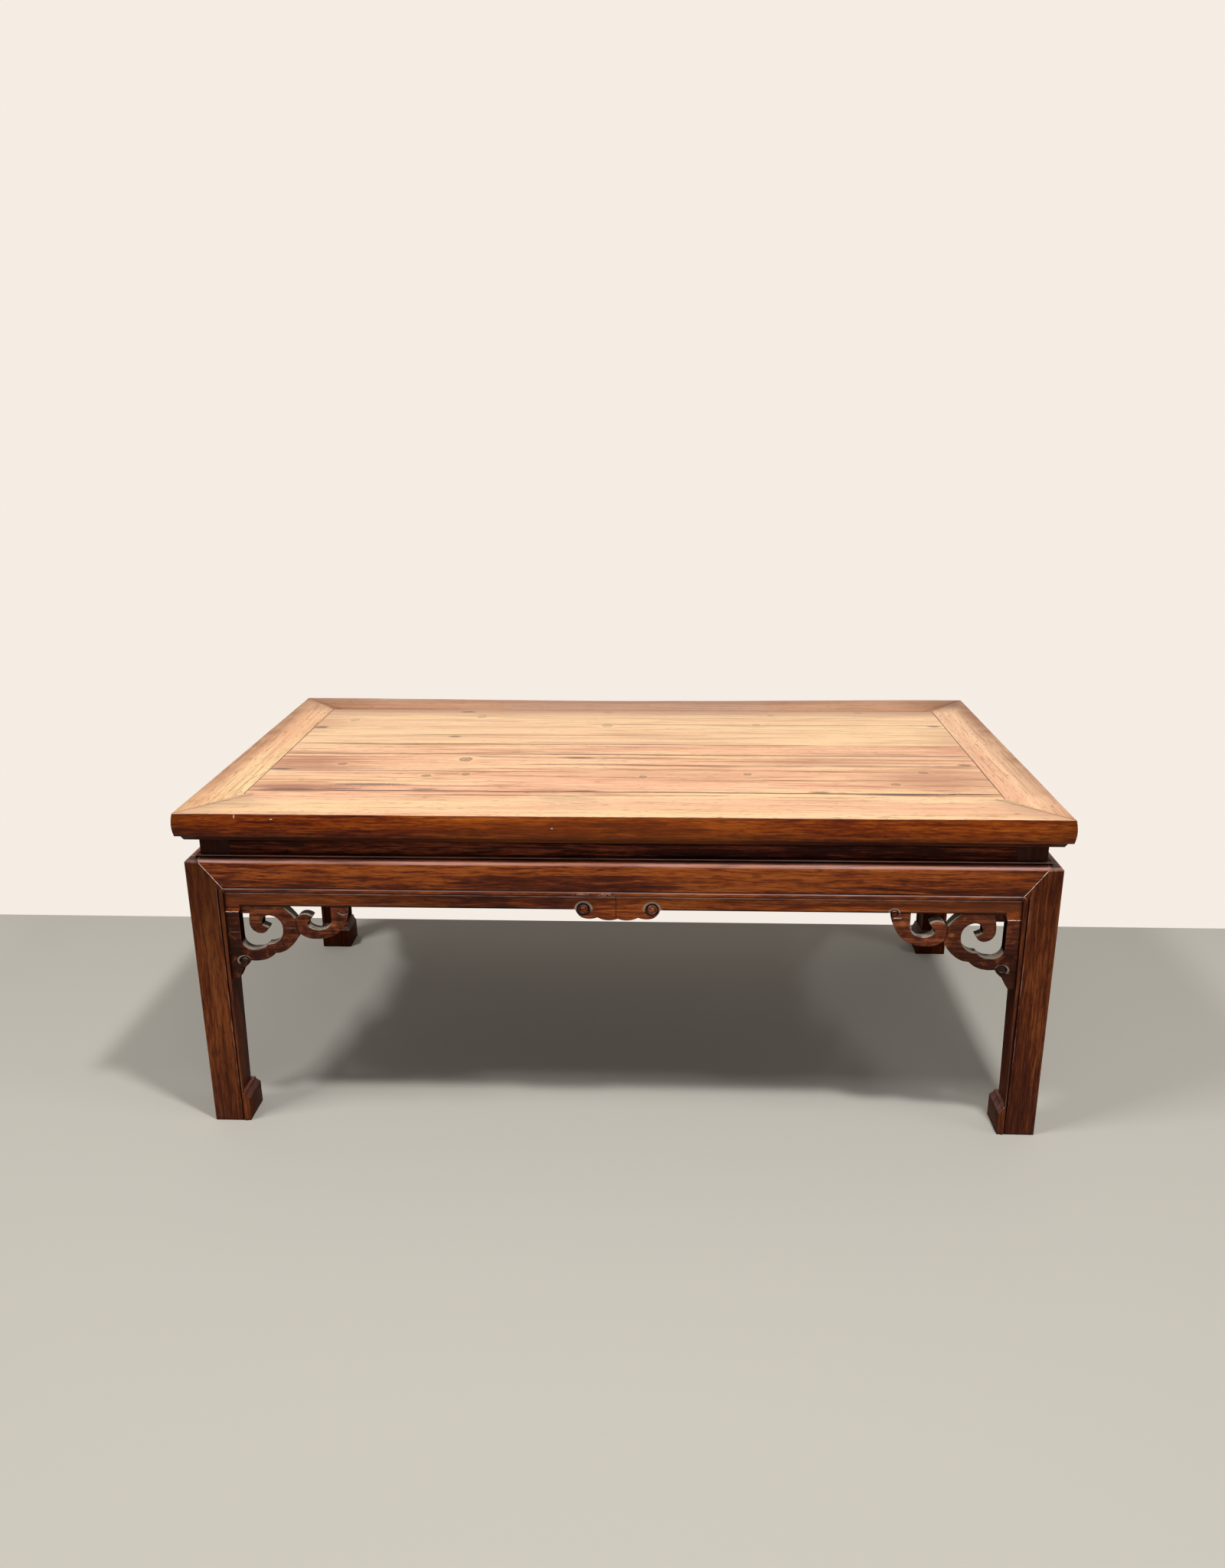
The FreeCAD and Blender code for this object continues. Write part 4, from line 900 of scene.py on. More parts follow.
def eye_outline(tree, coordinates, colour, axis, eye, lean, right_only=False):
    """Painted shade in a carved eye's groove, and a painted highlight on the pale arris over it.

    The eye is its distance from the side's middle, its level and its half sizes. The
    highlight is painted as if lit from above, or from a lean towards the side's ends.
    """
    run, level, wide, high = eye
    parts = parts_of(tree, coordinates)
    out = add_node(tree, "ABSOLUTE", parts[axis.upper()])
    beside = add_node(tree, "MULTIPLY_ADD", out, 1 / wide, -run / wide)
    above = add_node(tree, "MULTIPLY_ADD", parts["Z"], 1 / high, -level / high)
    local = add_node(tree, "CombineXYZ", beside, above)
    away = add_node(tree, "VectorMath", local, operation="LENGTH")
    groove = line_at(tree, away, GROOVE_SHARE, 0.10, 0.22, 0.9)
    lit = add_node(tree, "MULTIPLY_ADD", beside, lean, above)
    lit = add_node(tree, "remap", lit, -0.35, 0.15)
    rim = add_node(tree, "MULTIPLY", line_at(tree, away, 1.0, 0.06, 0.20, 0.65), lit)
    if right_only:
        # The right end of every side lies in one pair of the table's quarters
        quarter = add_node(tree, "MULTIPLY", parts["X"], parts["Y"])
        right = add_node(tree, "LESS_THAN" if axis == "x" else "GREATER_THAN", quarter, 0.0)
        groove = add_node(tree, "MULTIPLY", groove, right)
        rim = add_node(tree, "MULTIPLY", rim, right)
    dust_and_sheen, = chosen("dust_and_sheen")
    colour = add_node(tree, "tint", groove, colour, PAINTED_SHADE)
    return add_node(tree, "tint", rim, colour, dust_and_sheen)


def lobe_eye(axis):
    """The eye at the foot of a spandrel, drawn midway between the left and the right one."""
    left, right = (eyes[0] for eyes in SPANDREL_EYES_SHARES.values())
    middle = [(left[index] + right[index]) / 2 for index in range(2)]
    return *on_spandrel(axis, 1, *middle), *LOBE_OUTLINE


def tip_eye(axis):
    """The eye at the tip of a right spandrel, half on the band."""
    return *on_spandrel(axis, 1, *SPANDREL_EYES_SHARES["right"][1][:2]), *TIP_OUTLINE


def scroll_darkening(tree, coordinates, parts, colour, axis):
    """Darker zones on the stile beside the leg and on the large scroll, most at the left."""
    off = out_along(tree, parts, axis)
    left = add_node(tree, "remap", parts["X"], *LEFT_TO_RIGHT)
    darkening = 0.0
    for edge, first, last in ((STILE_EDGE, 0.76, 0.50), (LARGE_SCROLL_EDGE, 0.20, 0.48)):
        depth = add_node(tree, "remap", left, 0.0, 1.0, first, last)
        depth = add_node(tree, "MULTIPLY", add_node(tree, "remap", off, *edge, 1.0, 0.0), depth)
        darkening = add_node(tree, "MAXIMUM", depth, darkening)
    mottle = streaks(tree, coordinates, 9.091, 9.091, detail=2.0)
    dull = add_node(tree, "remap", mottle, 0.50, 0.66, 0.0, 0.6)
    bright = add_node(tree, "remap", mottle, 0.44, 0.32, 0.0, 0.25)
    colour = add_node(tree, "tint", add_node(tree, "MAXIMUM", darkening, dull), colour, "#1C0805")
    return add_node(tree, "tint", bright, colour, "#A86036")


def scroll_marks(tree, coordinates, parts, colour):
    """Rubbed spots and hair cracks on the front spandrels."""
    front = add_node(tree, "LESS_THAN", parts["Y"], 0.0)
    for marks, edge, depth, code in ((SCROLL_RUBS, 0.4, 0.6, "#B0683E"),
                                     (SCROLL_CRACKS, 0.3, 0.5, "#B89C90")):
        mark = spots(tree, coordinates, marks, edge, "xz")
        mark = add_node(tree, "MULTIPLY", mark, add_node(tree, "MULTIPLY", front, depth))
        colour = add_node(tree, "tint", mark, colour, code)
    return colour


def scroll_walls(tree, parts, axis):
    """A mask for painted shade on the sawn walls, undersides and backs, and along the joint
    with the band.
    """
    across = "Y" if axis == "x" else "X"
    faces = directions(tree)
    facing = add_node(tree, "ABSOLUTE", faces[across])
    wall = add_node(
        tree, "MULTIPLY", add_node(tree, "remap", facing, 0.4, 0.75, 0.93, 0.0),
        add_node(tree, "remap", faces["Z"], 0.2, 0.45, 1.0, 0.0))
    for other in (
        add_node(tree, "remap", faces["Z"], -0.6, -0.25, 0.9, 0.0),
        inner_face(tree, parts, across, 0.8),
        add_node(tree, "remap", parts["Z"], *BAND_JOINT, 0.0, 0.85)):
        wall = add_node(tree, "MAXIMUM", wall, other)
    return wall


def carved_wood(axis):
    """The spandrels' wood: red brown, with its grain across the piece, dust with a painted sheen
    on the upper walls, and painted shade on the other walls.
    """
    def spoil(tree, coordinates, colour, height):
        parts = parts_of(tree, coordinates)
        colour = scroll_darkening(tree, coordinates, parts, colour, axis)
        colour = eye_outline(tree, coordinates, colour, axis, lobe_eye(axis), 0.7)
        colour = eye_outline(tree, coordinates, colour, axis, tip_eye(axis), 0.0, True)
        if axis == "x":
            colour = scroll_marks(tree, coordinates, parts, colour)
        # Painted shade on the sawn walls, undersides and backs, and under the band
        wall = scroll_walls(tree, parts, axis)
        return add_node(tree, "tint", wall, colour, PAINTED_SHADE), height, wall

    return material_named(
        f"hardwood_carved_{axis}",
        lambda name: hardwood(
            name, axis, [(0.0, "#3A140B"), (0.45, "#5E2B18"), (0.8, "#844428"), (1.0, "#9A5A38")],
            *chosen("dust_and_sheen"), rub_and_highlight=1.0, flat=1.0, specular=0.11, patches=0.85, spoil=spoil))


def waist_wood(axis):
    """The waist's wood: nearly black under the top, where shadow is painted, with brown
    streaks lower down.
    """
    light, dark = chosen("waist_light", "waist_dark")

    def spoil(tree, coordinates, colour, height):
        level = parts_of(tree, coordinates)["Z"]
        # Painted shadow under the top's overhang
        under = add_node(tree, "remap", level, *WAIST_SHADE, 0.0, 0.95)
        return add_node(tree, "tint", under, colour, "#090302"), height, under

    # The pale colour gives the ledge's arris a painted highlight along with its wear
    return material_named(
        f"hardwood_waist_{axis}",
        lambda name: hardwood(
            name, axis, [(0.0, dark), (0.4, "#3C140A"), (0.8, light), (1.0, "#9A5028")],
            "#E2C8BC", rub_and_highlight=0.9, flat=0.05, specular=0.08, spoil=spoil))


def board_wood():
    """The bleached, waxed panel: honey coloured, with knots, stains and open joints."""
    return material_named("hardwood_top_boards", board_maker)


def lay_stains(tree, coordinates, parts, colour):
    """Browner zones that dirt, water and old wax have left, most of them towards the ends."""
    ragged = add_node(tree, "MULTIPLY_ADD", streaks(tree, coordinates, 166.7, 8.333), 1.4, -0.7)
    zone = zones(tree, coordinates, TOP_ZONES, ragged)
    colour = add_node(tree, "tint", zone, colour, "#A9694A")
    edge = add_node(tree, "SUBTRACT", REAR_MEMBER_LOW.y, parts["Y"])
    edge = add_node(tree, "MULTIPLY_ADD", ragged, 16 * MM, edge)
    crept = add_node(tree, "remap", edge, 0.0, REAR_STAIN_REACH, 0.95, 0.0)
    stains = [(middle, REAR_MEMBER_LOW.y / MM, half, 1.6 * reach, 0.8)
              for middle, half, reach in REAR_STAINS]
    crept = add_node(tree, "MAXIMUM", crept, zones(tree, coordinates, stains, ragged))
    colour = add_node(tree, "tint", crept, colour, "#B07C60")
    # Dirt has gathered in the joints with the members at both ends
    end = add_node(tree, "remap", add_node(tree, "ABSOLUTE", parts["X"]), *END_JOINT, 0.0, 0.85)
    colour = add_node(tree, "tint", end, colour, "#452617")
    stain = add_node(tree, "MULTIPLY", spots(tree, coordinates, TOP_STAINS), 0.75)
    colour = add_node(tree, "tint", stain, colour, "#503024")
    line = add_node(tree, "MULTIPLY", open_lines(tree, coordinates, TOP_LINES), 0.95)
    return add_node(tree, "tint", line, colour, "#341B12")


def board_maker(name):
    """Bleaching left pale wood, in which only knots, dirt and old wax are still dark."""
    material, tree, shader = new_tree(name, WAXED_ROUGHNESS, 0.45)
    coordinates = add_node(tree, "TexCoord", output="Object")
    moved, core, halo = part_round_knots(tree, coordinates)
    parts = parts_of(tree, coordinates)
    # Each board was cut from its own stretch of timber, so the grain jumps at the joints
    jump = 0.0
    for joint in BOARD_JOINTS:
        beyond = add_node(tree, "GREATER_THAN", parts["Y"], joint)
        jump = add_node(tree, "MULTIPLY_ADD", beyond, BOARD_JUMP, jump)
    offset = add_node(tree, "CombineXYZ", jump)
    moved = add_node(tree, "VectorMath", moved, offset, operation="ADD")
    places = grain_places(tree, moved, "x", bend=2.0 * MM)
    colour, _ = pale_grain(tree, places, chosen("top_gold", "top_pink", "top_line"))
    colour = add_node(tree, "tint", add_node(tree, "MULTIPLY", halo, 0.45), colour, "#F0C088")
    colour = add_node(tree, "tint", core, colour, "#7A4E32")
    last = BOARD_JOINTS[-1]
    rear = add_node(tree, "remap", parts["Y"], last - 1 * MM, last + 1 * MM, 0.0, 0.35)
    colour = add_node(tree, "tint", rear, colour, "#FFDCA6")
    colour = lay_stains(tree, coordinates, parts, colour)
    # The underside was never bleached
    under = add_node(tree, "remap", directions(tree)["Z"], 0.2, 0.6, 1.0, 0.0)
    colour = add_node(tree, "tint", under, colour, "#4A2413")
    tree.links.new(colour, shader.inputs["Base Color"])
    # The relief follows the plain grain: it is too fine to show how the knots part it
    fibre = streaks(tree, coordinates, 45.45, 1.111, roughness=0.7)
    tone = streaks(tree, coordinates, 454.5, 29.41, detail=2.0)
    height = add_node(
        tree, "MULTIPLY_ADD", tone, 0.7 * MM, add_node(tree, "MULTIPLY", fibre, 0.10 * MM))
    set_relief(tree, shader, height)
    return material


# The golden zones, pinker zones and dark grain of each member's top: the rear one is browner
FRAME_TONES = {
    "front": ("#FAD0A0", "#F4BF97", "#A86C48"),
    "rear": ("#CB9A78", "#BA8666", "#6E4230"),
    "left": ("#FFD8A4", "#F8BE92", "#9C5C30"),
    "right": ("#FACBA2", "#EEB792", "#9A5E3A"),
}


def member_top(tree, coordinates, places, parts, side):
    """Colour and height of a frame member's bleached top."""
    pale, height = pale_grain(tree, places, FRAME_TONES[side], 0.3)
    # Handling has darkened the outer margin of the top, most towards the rear
    cloud = streaks(tree, coordinates, 62.5, 62.5, detail=2.0)
    out, away = (add_node(tree, "ABSOLUTE", parts[part]) for part in "XY")
    if side in ENDS:
        margin = add_node(tree, "ease", out, *SHORT_MARGIN)
        back = add_node(tree, "remap", parts["Y"], *MARGIN_TO_REAR, 0.55, 1.0)
        corner = add_node(tree, "ease", parts["Y"], *REAR_CORNERS)
        shade = add_node(tree, "MAXIMUM", add_node(tree, "MULTIPLY", margin, back), corner)
    else:
        shade = add_node(tree, "remap", out, *LONG_ENDS, 0.0, 0.45 if side == "front" else 1.0)
    cloud = add_node(tree, "remap", cloud, 0.3, 0.7, 0.35, 0.95)
    pale = add_node(tree, "tint", add_node(tree, "MULTIPLY", shade, cloud), pale, "#84502F")
    # The mitres show as thin dark lines
    mitre = line_at(
        tree, add_node(tree, "SUBTRACT", out, away), TABLE_HIGH.x - TABLE_HIGH.y, 0.5 * MM,
        1.6 * MM, 0.8)
    return add_node(tree, "tint", mitre, pale, "#5A3520"), height


def member_edge(tree, coordinates, places, parts, side):
    """Colour, height and bands of a frame member's dark edge."""
    dark, height, bands = dark_grain(tree, places, edge_stops())
    # The edge is darker under its upper arris, towards its foot and towards its ends
    foot = add_node(
        tree, "MAXIMUM", add_node(tree, "remap", parts["Z"], *EDGE_FOOT, 0.45, 0.0),
        add_node(tree, "remap", parts["Z"], *EDGE_HEAD, 0.0, 0.35))
    reach = TABLE_HIGH.y if side in ENDS else TABLE_HIGH.x
    out = add_node(tree, "ABSOLUTE", parts[along(side).upper()])
    tip = add_node(tree, "remap", out, reach - EDGE_END_REACH, reach, 0.0, 0.35)
    cloud = streaks(tree, coordinates, 62.5, 62.5, detail=2.0)
    shade = add_node(
        tree, "MULTIPLY", add_node(tree, "MAXIMUM", foot, tip),
        add_node(tree, "remap", cloud, 0.3, 0.6, 0.6, 1.0))
    # A painted shadow along the lip at the edge's foot
    lip_shadow = add_node(tree, "remap", parts["Z"], *EDGE_LIP, 0.8, 0.0)
    dark = add_node(tree, "tint", add_node(tree, "MAXIMUM", shade, lip_shadow), dark, "#1C0804")
    if side == "front":
        glow = add_node(tree, "remap", out, *EDGE_GLOW, 0.10, 0.0)
        dark = add_node(tree, "tint", glow, dark, "#C87028")
        nick = add_node(tree, "MULTIPLY", spots(tree, coordinates, EDGE_NICKS, 0.6, "xz"), 0.8)
        dark = add_node(tree, "tint", nick, dark, "#E5CFC0")
    return dirt_and_corner_shade(tree, dark, directions(tree)["Z"]), height, bands


def frame_maker(name, side):
    """A frame member: bleached and waxed on top, still dark red brown on its edge."""
    material, tree, shader = new_tree(name, WAXED_ROUGHNESS, 0.12)
    coordinates = add_node(tree, "TexCoord", output="Object")
    places = grain_places(tree, coordinates, along(side))
    parts = parts_of(tree, coordinates)
    pale, pale_height = member_top(tree, coordinates, places, parts, side)
    dark, dark_height, bands = member_edge(tree, coordinates, places, parts, side)
    broken = streaks(tree, places, 16.67, 3.333, detail=2.0)
    facing = add_node(tree, "MULTIPLY_ADD", broken, 0.35, directions(tree)["Z"])
    top_face = add_node(tree, "remap", facing, 0.88, 1.0)
    colour = add_node(tree, "tint", top_face, dark, pale)
    # A thin pale line of bare wood with a painted highlight shows along the arris
    arris = add_node(
        tree, "MULTIPLY", add_node(tree, "remap", facing, 0.55, 0.85),
        add_node(tree, "remap", facing, 0.9, 1.0, 1.0, 0.0))
    arris = add_node(tree, "MULTIPLY", arris, add_node(tree, "remap", bands, 0.4, 0.6, 0.1, 0.8))
    colour = add_node(tree, "tint", arris, colour, *chosen("worn_and_highlight"))
    tree.links.new(colour, shader.inputs["Base Color"])
    set_relief(tree, shader, add_node(tree, "Mix", top_face, dark_height, pale_height))
    return material


def frame_wood(side):
    """The frame member's wood, made once for each side."""
    return material_named(f"hardwood_frame_{side}", lambda name: frame_maker(name, side))


def filler_paste():
    """Old chalky filler, gone pinkish white where dirt and wax have not darkened it."""
    pale, = chosen("filler")

    def maker(name):
        material, tree, shader = new_tree(name, 0.75, 0.3)
        coordinates = add_node(tree, "TexCoord", output="Object")
        cloud = streaks(tree, coordinates, 4.167, 4.167)
        colour = add_node(tree, "tint", add_node(tree, "remap", cloud, 0.45, 0.7), pale, "#7A4A38")
        tree.links.new(colour, shader.inputs["Base Color"])
        return material

    return material_named("chalk_filler", maker)


# The table's pieces

# The rear member is worn this far in from its edge, in what lies this close under its top
WORN_WIDTH = 70 * MM
WORN_DEPTH = 3 * MM


class KANG_OT_top_frame(Operator):
    """Four mitred members with a swelling edge"""
    bl_idname = "kang.top_frame"
    bl_label = "Top Frame"

    def execute(self, context):
        for side in TURNS:
            node = f"top_frame_{side}"
            piece = worn_copy(node, wear().joint, segments=1)
            hand_plane(piece, side)
            if side == "rear":
                self.wear_down(piece)
            finish(piece, node, frame_wood(side))
        return {"FINISHED"}

    def wear_down(self, piece):
        """Wear the rear member's top face down towards its outer edge and its middle."""
        inner = REAR_MEMBER_HIGH.y - WORN_WIDTH
        for vertex in piece.data.vertices:
            if vertex.co.z < TOP - WORN_DEPTH:
                continue
            out = max(0.0, (vertex.co.y - inner) / WORN_WIDTH)
            middle = math.cos(0.5 * math.pi * vertex.co.x / TABLE_HIGH.x) ** 2
            vertex.co.z -= wear().sag * out * middle


class KANG_OT_top_boards(Operator):
    """Three floating boards and the battens under them"""
    bl_idname = "kang.top_boards"
    bl_label = "Top Boards"

    def execute(self, context):
        for name in ("front", "middle", "rear"):
            node = f"top_board_{name}"
            piece = worn_copy(node, wear().joint, segments=1)
            finish(piece, node, board_wood())
        for name in ("left", "middle", "right"):
            node = f"batten_{name}"
            piece = worn_copy(node, wear().corner)
            finish(piece, node, rail_wood("y"))
        return {"FINISHED"}


class KANG_OT_waist(Operator):
    """The recessed waist boards and the ledge strips under them"""
    bl_idname = "kang.waist"
    bl_label = "Waist"

    def execute(self, context):
        for side in TURNS:
            for kind in ("waist_board", "waist_ledge"):
                node = f"{kind}_{side}"
                piece = worn_copy(node, wear().corner)
                finish(piece, node, waist_wood(along(side)))
        return {"FINISHED"}


def winding_cutter(side, x, level, radius, core, turns, start, hand, wide=1.0):
    """A tube that winds inward about a middle on a side's carved face.

    It swells at once from a thin start, and then tapers towards the core.
    """
    width = wide * wear().groove * radius / EYE_RADIUS
    places, shares = [], []
    for step in range(GROOVE_STEPS + 1):
        share = step / GROOVE_STEPS
        angle = 2 * math.pi * (start + turns * share)
        reach = radius + (core - radius) * share ** 0.8
        places.append(on_side(side, x + hand * wide * reach * math.cos(angle), BAND_DEPTH,
                              level + reach * math.sin(angle)))
        shares.append(min(0.6 + 6 * share, 1.35 - 0.75 * share))
    return tube("groove_cutter", places, width, shares)


def spandrel_eye_cutter(side, name, run_share, drop_share, radius, start, turns):
    """The winding groove of one of a spandrel's eyes."""
    x, level = on_spandrel(along(side), ENDS[name], run_share, drop_share)
    core = SPANDREL_CORE if turns > 1 else OPEN_CORE_SHARE * radius
    return winding_cutter(
        side, x, level, radius, core, turns, start, -ENDS[name], SPANDREL_STRETCH)


class KANG_OT_aprons(Operator):
    """The aprons with their beads, and the inner bands below them"""
    bl_idname = "kang.aprons"
    bl_label = "Aprons"

    def execute(self, context):
        for side in TURNS:
            node = f"apron_{side}"
            piece = worn_copy(node, wear().joint)
            hand_plane(piece, side)
            finish(piece, node, rail_wood(along(side), side == "front"))
            node = f"inner_band_{side}"
            piece = worn_copy(node, wear().carved)
            if side in ("front", "rear"):
                for hand in ENDS.values():
                    carve(piece, winding_cutter(
                        side, hand * EYE_OUT, BAND_FOOT + EYE_RISE, EYE_RADIUS, EYE_CORE,
                        EYE_TURNS, 0.0, hand))
            for name, eyes in SPANDREL_EYES_SHARES.items():
                for *eye, crosses in eyes:
                    if crosses:
                        carve(piece, spandrel_eye_cutter(side, name, *eye))
            finish(piece, node, rail_wood(along(side), side == "front"))
        return {"FINISHED"}


class KANG_OT_spandrels(Operator):
    """Eight openwork scroll pieces"""
    bl_idname = "kang.spandrels"
    bl_label = "Spandrels"

    def execute(self, context):
        for side in TURNS:
            for name, end in ENDS.items():
                node = f"spandrel_{side}_{name}"
                piece = worn_copy(node, wear().carved, segments=3)
                for *eye, crosses in SPANDREL_EYES_SHARES[name]:
                    if not crosses:
                        carve(piece, spandrel_eye_cutter(side, name, *eye))
                places = []
                for shares in LAP_SHARES:
                    x, level = on_spandrel(along(side), end, *shares)
                    places.append(on_side(side, x, BAND_DEPTH, level))
                carve(piece, tube("lap_cutter", places, wear().groove, (0.8, 0.7, 0.7, 0.8)))
                finish(piece, node, carved_wood(along(side)))
        return {"FINISHED"}


class KANG_OT_legs(Operator):
    """Four legs with beaded edges and hoof feet"""
    bl_idname = "kang.legs"
    bl_label = "Legs"

    def execute(self, context):
        for row in ("front", "rear"):
            for name in ENDS:
                node = f"leg_{row}_{name}"
                piece = worn_copy(node, wear().joint)
                finish(piece, node, leg_wood())
        return {"FINISHED"}


# The mitre between leg and apron starts and stops this far in from the leg's outer face, and
# goes over the apron's rounded upper edge
MITRE_START = 15 * MM
MITRE_STOP = 45 * MM
APRON_ROUND = 4.5 * MM
# The filler starts beside the post, at these depths, and stops at this level
POST_DEPTHS = (14 * MM, 9 * MM)
MITRE_FOOT = APRON_FOOT + 1.5 * MM
MITRE_STEPS = 14
MITRE_JITTER = 0.5 * MM
# The filler under a band's end starts and stops this far in from the leg's outer face
EAR_START = 40 * MM
EAR_STOP = 56 * MM
EAR_STEPS = 6
EAR_WANDER = 0.3 * MM
TIP_STEPS = 4


class KANG_OT_fillers(Operator):
    """Thin lines of old filler in the open mitres and under the bands' ends"""
    bl_idname = "kang.fillers"
    bl_label = "Fillers"

    def execute(self, context):
        for side in TURNS:
            for name, end in ENDS.items():
                self.line(f"mitre_filler_{side}_{name}", self.mitre(side, end))
                self.line(f"ear_filler_{side}_{name}", self.ear(side, end))
            self.line(f"end_filler_{side}_right", self.end(side))
        return {"FINISHED"}

    def line(self, name, places):
        """A bead of filler through places, here thicker and there thinner."""
        shares = [0.55 + 0.9 * abs(noise.noise(place * 260)) for place in places]
        piece = tube(name, places, wear().filler, shares)
        finish(piece, None, filler_paste())

    def mitre(self, side, end):
        """From the post over the rounded shoulder and down the mitre to the bead."""
        run = HALF_RUNS[along(side)]
        places = [on_side(side, end * (run - MITRE_START), depth, SHOULDER)
                  for depth in POST_DEPTHS]
        for step in range(MITRE_STEPS + 1):
            z = SHOULDER + (MITRE_FOOT - SHOULDER) * step / MITRE_STEPS
            share = (SHOULDER - z) / (SHOULDER - APRON_FOOT)
            across = MITRE_START + (MITRE_STOP - MITRE_START) * share
            above = min(APRON_ROUND, max(0.0, z - (SHOULDER - APRON_ROUND)))
            depth = APRON_ROUND - math.sqrt(APRON_ROUND ** 2 - above ** 2)
            place = on_side(side, end * (run - across), depth, z)
            jitter = noise.noise(place * 180) * MITRE_JITTER
            places.append(place + on_side(side, end * jitter, 0, 0) - on_side(side, 0, 0, 0))
        return places

    def ear(self, side, end):
        """Across the joint between the band's downturned end and the spandrel."""
        run = HALF_RUNS[along(side)]
        pace = (EAR_STOP - EAR_START) / EAR_STEPS
        return [on_side(side, end * (run - EAR_START - pace * step), BAND_DEPTH,
                        EAR_FOOT + EAR_WANDER * math.sin(2.1 * step))
                for step in range(EAR_STEPS + 1)]

    def end(self, side):
        """Across the tip of the right spandrel, below its eye."""
        first, last, drop = TIP_FILLER_SHARES
        places = []
        for step in range(TIP_STEPS + 1):
            run = first + (last - first) * step / TIP_STEPS
            x, level = on_spandrel(along(side), ENDS["right"], run, drop)
            places.append(on_side(side, x, BAND_DEPTH, level))
        return places


# The stage. The camera stands where the photographer's did, found from the table's corners.
# Its yaw, pitch and roll are in radians.

CAMERA_PLACE = (52.0 * MM, -1511.9 * MM, 841.1 * MM)
CAMERA_YAW = 0.0454
CAMERA_PITCH = -0.3135
CAMERA_ROLL = 0.0074
PHOTO_HEIGHT_PX = 2048
FOCAL_PX = 1561.6
SENSOR_HEIGHT = 36.0
FLOOR_REACH = 7.0
# Behind this line the floor looks as pale as the wall
PALE_LINE = 330 * MM
# The lamps: place, aim, width and depth in metres, and power in watts
LAMPS = {
    "left": ((-1.55, -0.95, 2.6), (0.0, 0.0, 0.3), (0.8, 0.2), 33),
    "middle": ((0.6, -0.95, 2.6), (0.0, 0.0, 0.3), (0.2, 0.2), 34),
    "right": ((2.33, -0.95, 2.6), (0.0, 0.0, 0.3), (0.9, 0.2), 10),
    "fill": ((0.2, -3.2, 1.5), (0.0, 0.0, 0.25), (2.4, 2.4), 16),
}
# How bright the surroundings look in the wood's shine before the table, and how much of
# that brightness lights the wood
FRONT_GLOW = 0.30
AMBIENT_SHARE = 0.34


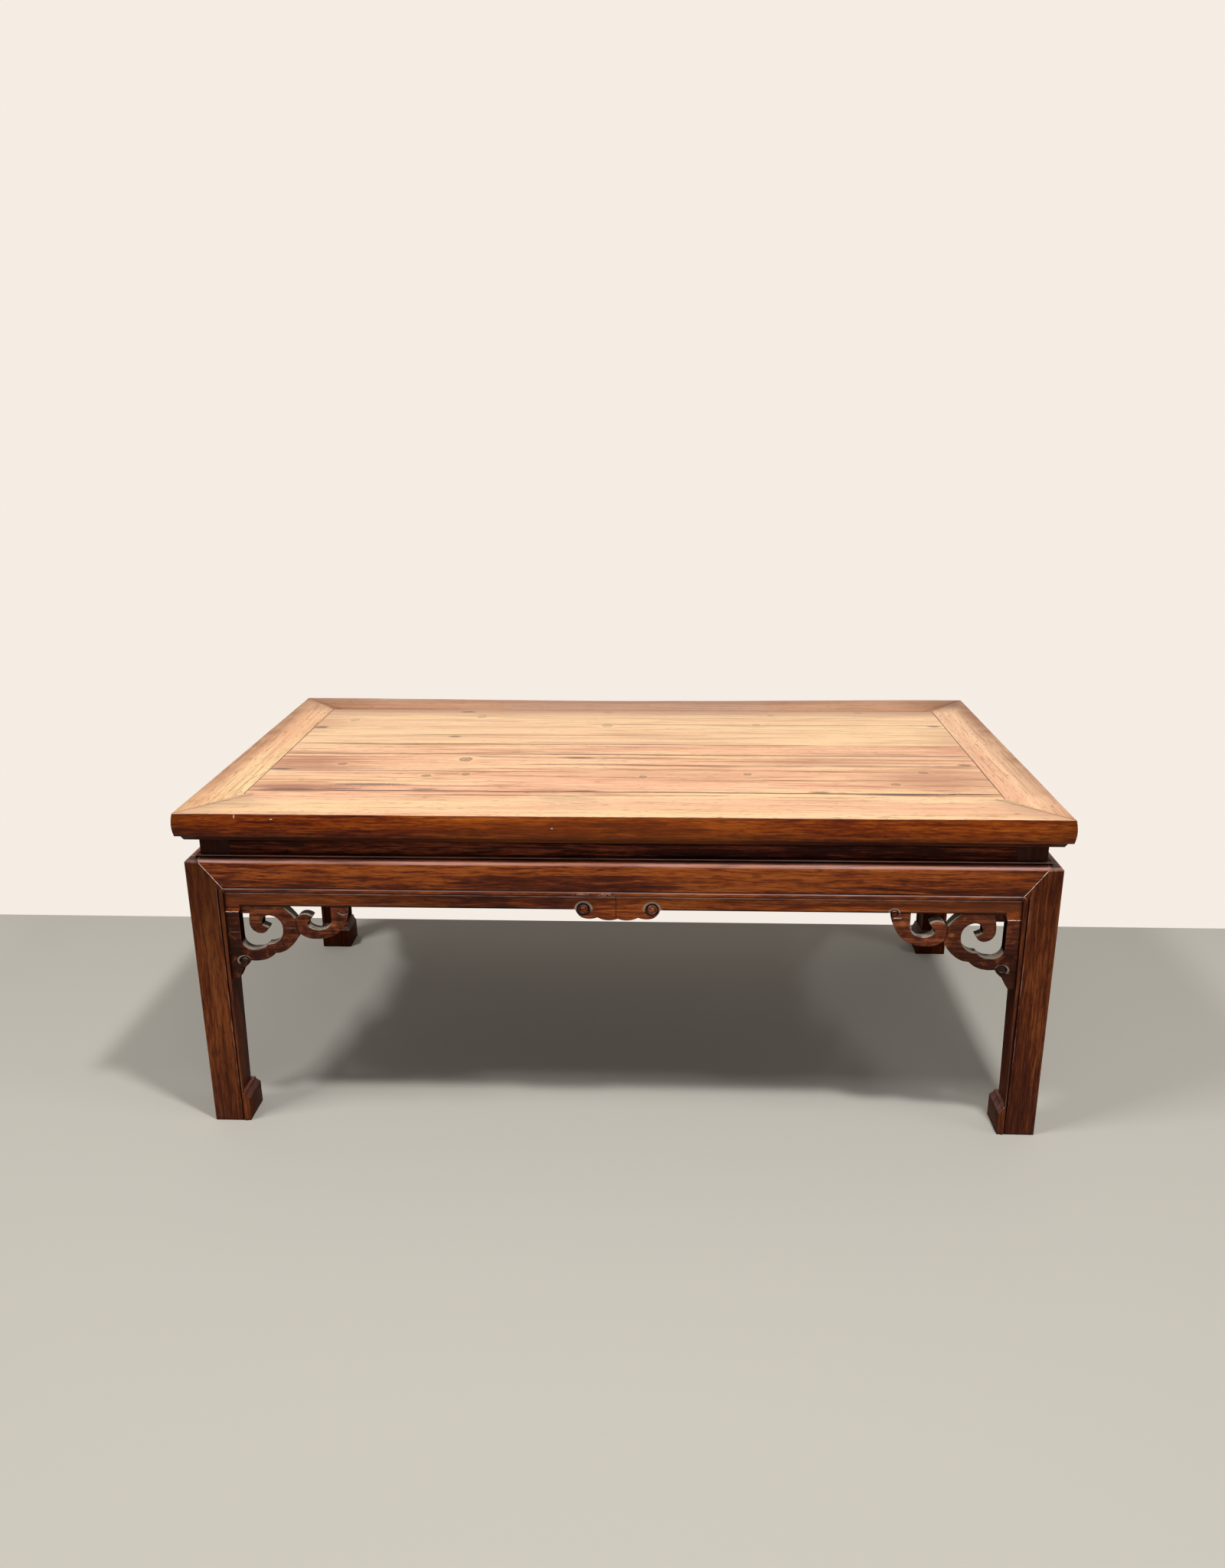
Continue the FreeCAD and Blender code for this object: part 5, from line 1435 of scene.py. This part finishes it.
class KANG_OT_stage(Operator):
    """A pale floor, soft light and the photograph's camera"""
    bl_idname = "kang.stage"
    bl_label = "Stage"

    def execute(self, context):
        self.floor()
        self.world()
        for name, settings in LAMPS.items():
            self.lamp(name, *settings)
        self.camera()
        return {"FINISHED"}

    def floor(self):
        """A floor of matt paint, which shows only soft shadows."""
        bpy.ops.object.select_all(action="DESELECT")
        bpy.ops.mesh.primitive_plane_add(size=2 * FLOOR_REACH, location=(0, 0, 0))
        plane = bpy.context.object
        plane.name = "floor"
        floor, wall = chosen("floor", "wall")
        material, tree, shader = new_tree("painted_floor", 0.8, 0.2)
        shader.inputs["Base Color"].default_value = srgb(floor)
        parts = parts_of(tree, add_node(tree, "TexCoord", output="Object"))
        beyond = add_node(tree, "GREATER_THAN", parts["Y"], PALE_LINE)
        rays = add_node(tree, "LightPath").node.outputs
        seen = add_node(tree, "MAXIMUM", rays["Is Camera Ray"], rays["Is Glossy Ray"])
        glow = add_node(tree, "Emission", wall, 1.0)
        mixed = add_node(
            tree, "MixShader", add_node(tree, "MULTIPLY", beyond, seen), shader.outputs[0], glow)
        tree.links.new(mixed, tree.nodes["Material Output"].inputs["Surface"])
        plane.data.materials.append(material)

    def world(self):
        """Surroundings that the camera sees as the plain wall."""
        world = bpy.data.worlds.new("studio")
        bpy.context.scene.world = world
        world.use_nodes = True
        tree = world.node_tree
        wall, = chosen("wall")
        rays = add_node(tree, "LightPath").node.outputs
        direction = add_node(tree, "TexCoord", output="Generated")
        behind = add_node(tree, "ease", parts_of(tree, direction)["Y"], -0.5, 0.5, FRONT_GLOW, 1.0)
        ambient = add_node(tree, "MULTIPLY", behind, AMBIENT_SHARE)
        clear = add_node(tree, "MAXIMUM", rays["Is Camera Ray"], rays["Is Transmission Ray"])
        strength = add_node(tree, "Mix", rays["Is Glossy Ray"], ambient, behind)
        strength = add_node(tree, "MAXIMUM", strength, clear)
        background = tree.nodes["Background"]
        background.inputs["Color"].default_value = srgb(wall)
        tree.links.new(strength, background.inputs["Strength"])

    def lamp(self, name, place, aim, size, power):
        """A flat lamp that faces what it is aimed at."""
        bpy.ops.object.light_add(type="AREA", location=place)
        lamp = bpy.context.object
        lamp.name = f"lamp_{name}"
        lamp.data.shape = "RECTANGLE"
        lamp.data.size, lamp.data.size_y = size
        lamp.data.energy = power
        lamp.rotation_euler = (Vector(aim) - Vector(place)).to_track_quat("-Z", "Y").to_euler()

    def camera(self):
        """The photograph's camera, turned about its upright, level and viewing axes."""
        bpy.ops.object.camera_add(location=CAMERA_PLACE)
        camera = bpy.context.object
        camera.name = "camera_front"
        turn = (Matrix.Rotation(CAMERA_YAW, 3, "Z") @ Matrix.Rotation(CAMERA_PITCH, 3, "X")
                @ Matrix.Rotation(CAMERA_ROLL, 3, "Y") @ Matrix.Rotation(math.radians(90), 3, "X"))
        camera.rotation_euler = turn.to_euler()
        camera.data.sensor_fit = "VERTICAL"
        camera.data.sensor_height = SENSOR_HEIGHT
        camera.data.lens = SENSOR_HEIGHT * FOCAL_PX / PHOTO_HEIGHT_PX
        bpy.context.scene.camera = camera


class KANG_PT_panel(Panel):
    """Lists the table's pieces in the sidebar"""
    bl_idname = "KANG_PT_panel"
    bl_label = "Kang Table"
    bl_space_type = "VIEW_3D"
    bl_region_type = "UI"
    bl_category = "Kang Table"

    def draw(self, context):
        layout = self.layout
        for group in (context.scene.kang_wear, context.scene.kang_colours):
            for name in group.__annotations__:
                layout.prop(group, name)
        for operator in OPERATORS:
            layout.operator(operator.bl_idname)


GROUPS = (KANG_PG_wear, KANG_PG_colours)
OPERATORS = (
    KANG_OT_top_frame, KANG_OT_top_boards, KANG_OT_waist, KANG_OT_aprons,
    KANG_OT_spandrels, KANG_OT_legs, KANG_OT_fillers, KANG_OT_stage)
CLASSES = (*GROUPS, *OPERATORS, KANG_PT_panel)


def register():
    for item in CLASSES:
        bpy.utils.register_class(item)
    bpy.types.Scene.kang_wear = PointerProperty(type=KANG_PG_wear)
    bpy.types.Scene.kang_colours = PointerProperty(type=KANG_PG_colours)


def unregister():
    del bpy.types.Scene.kang_colours
    del bpy.types.Scene.kang_wear
    for item in reversed(CLASSES):
        bpy.utils.unregister_class(item)


def main():
    register()
    bpy.context.scene.view_settings.view_transform = "Standard"
    for operator in OPERATORS:
        group, name = operator.bl_idname.split(".")
        getattr(getattr(bpy.ops, group), name)()


if __name__ == "__main__":
    main()
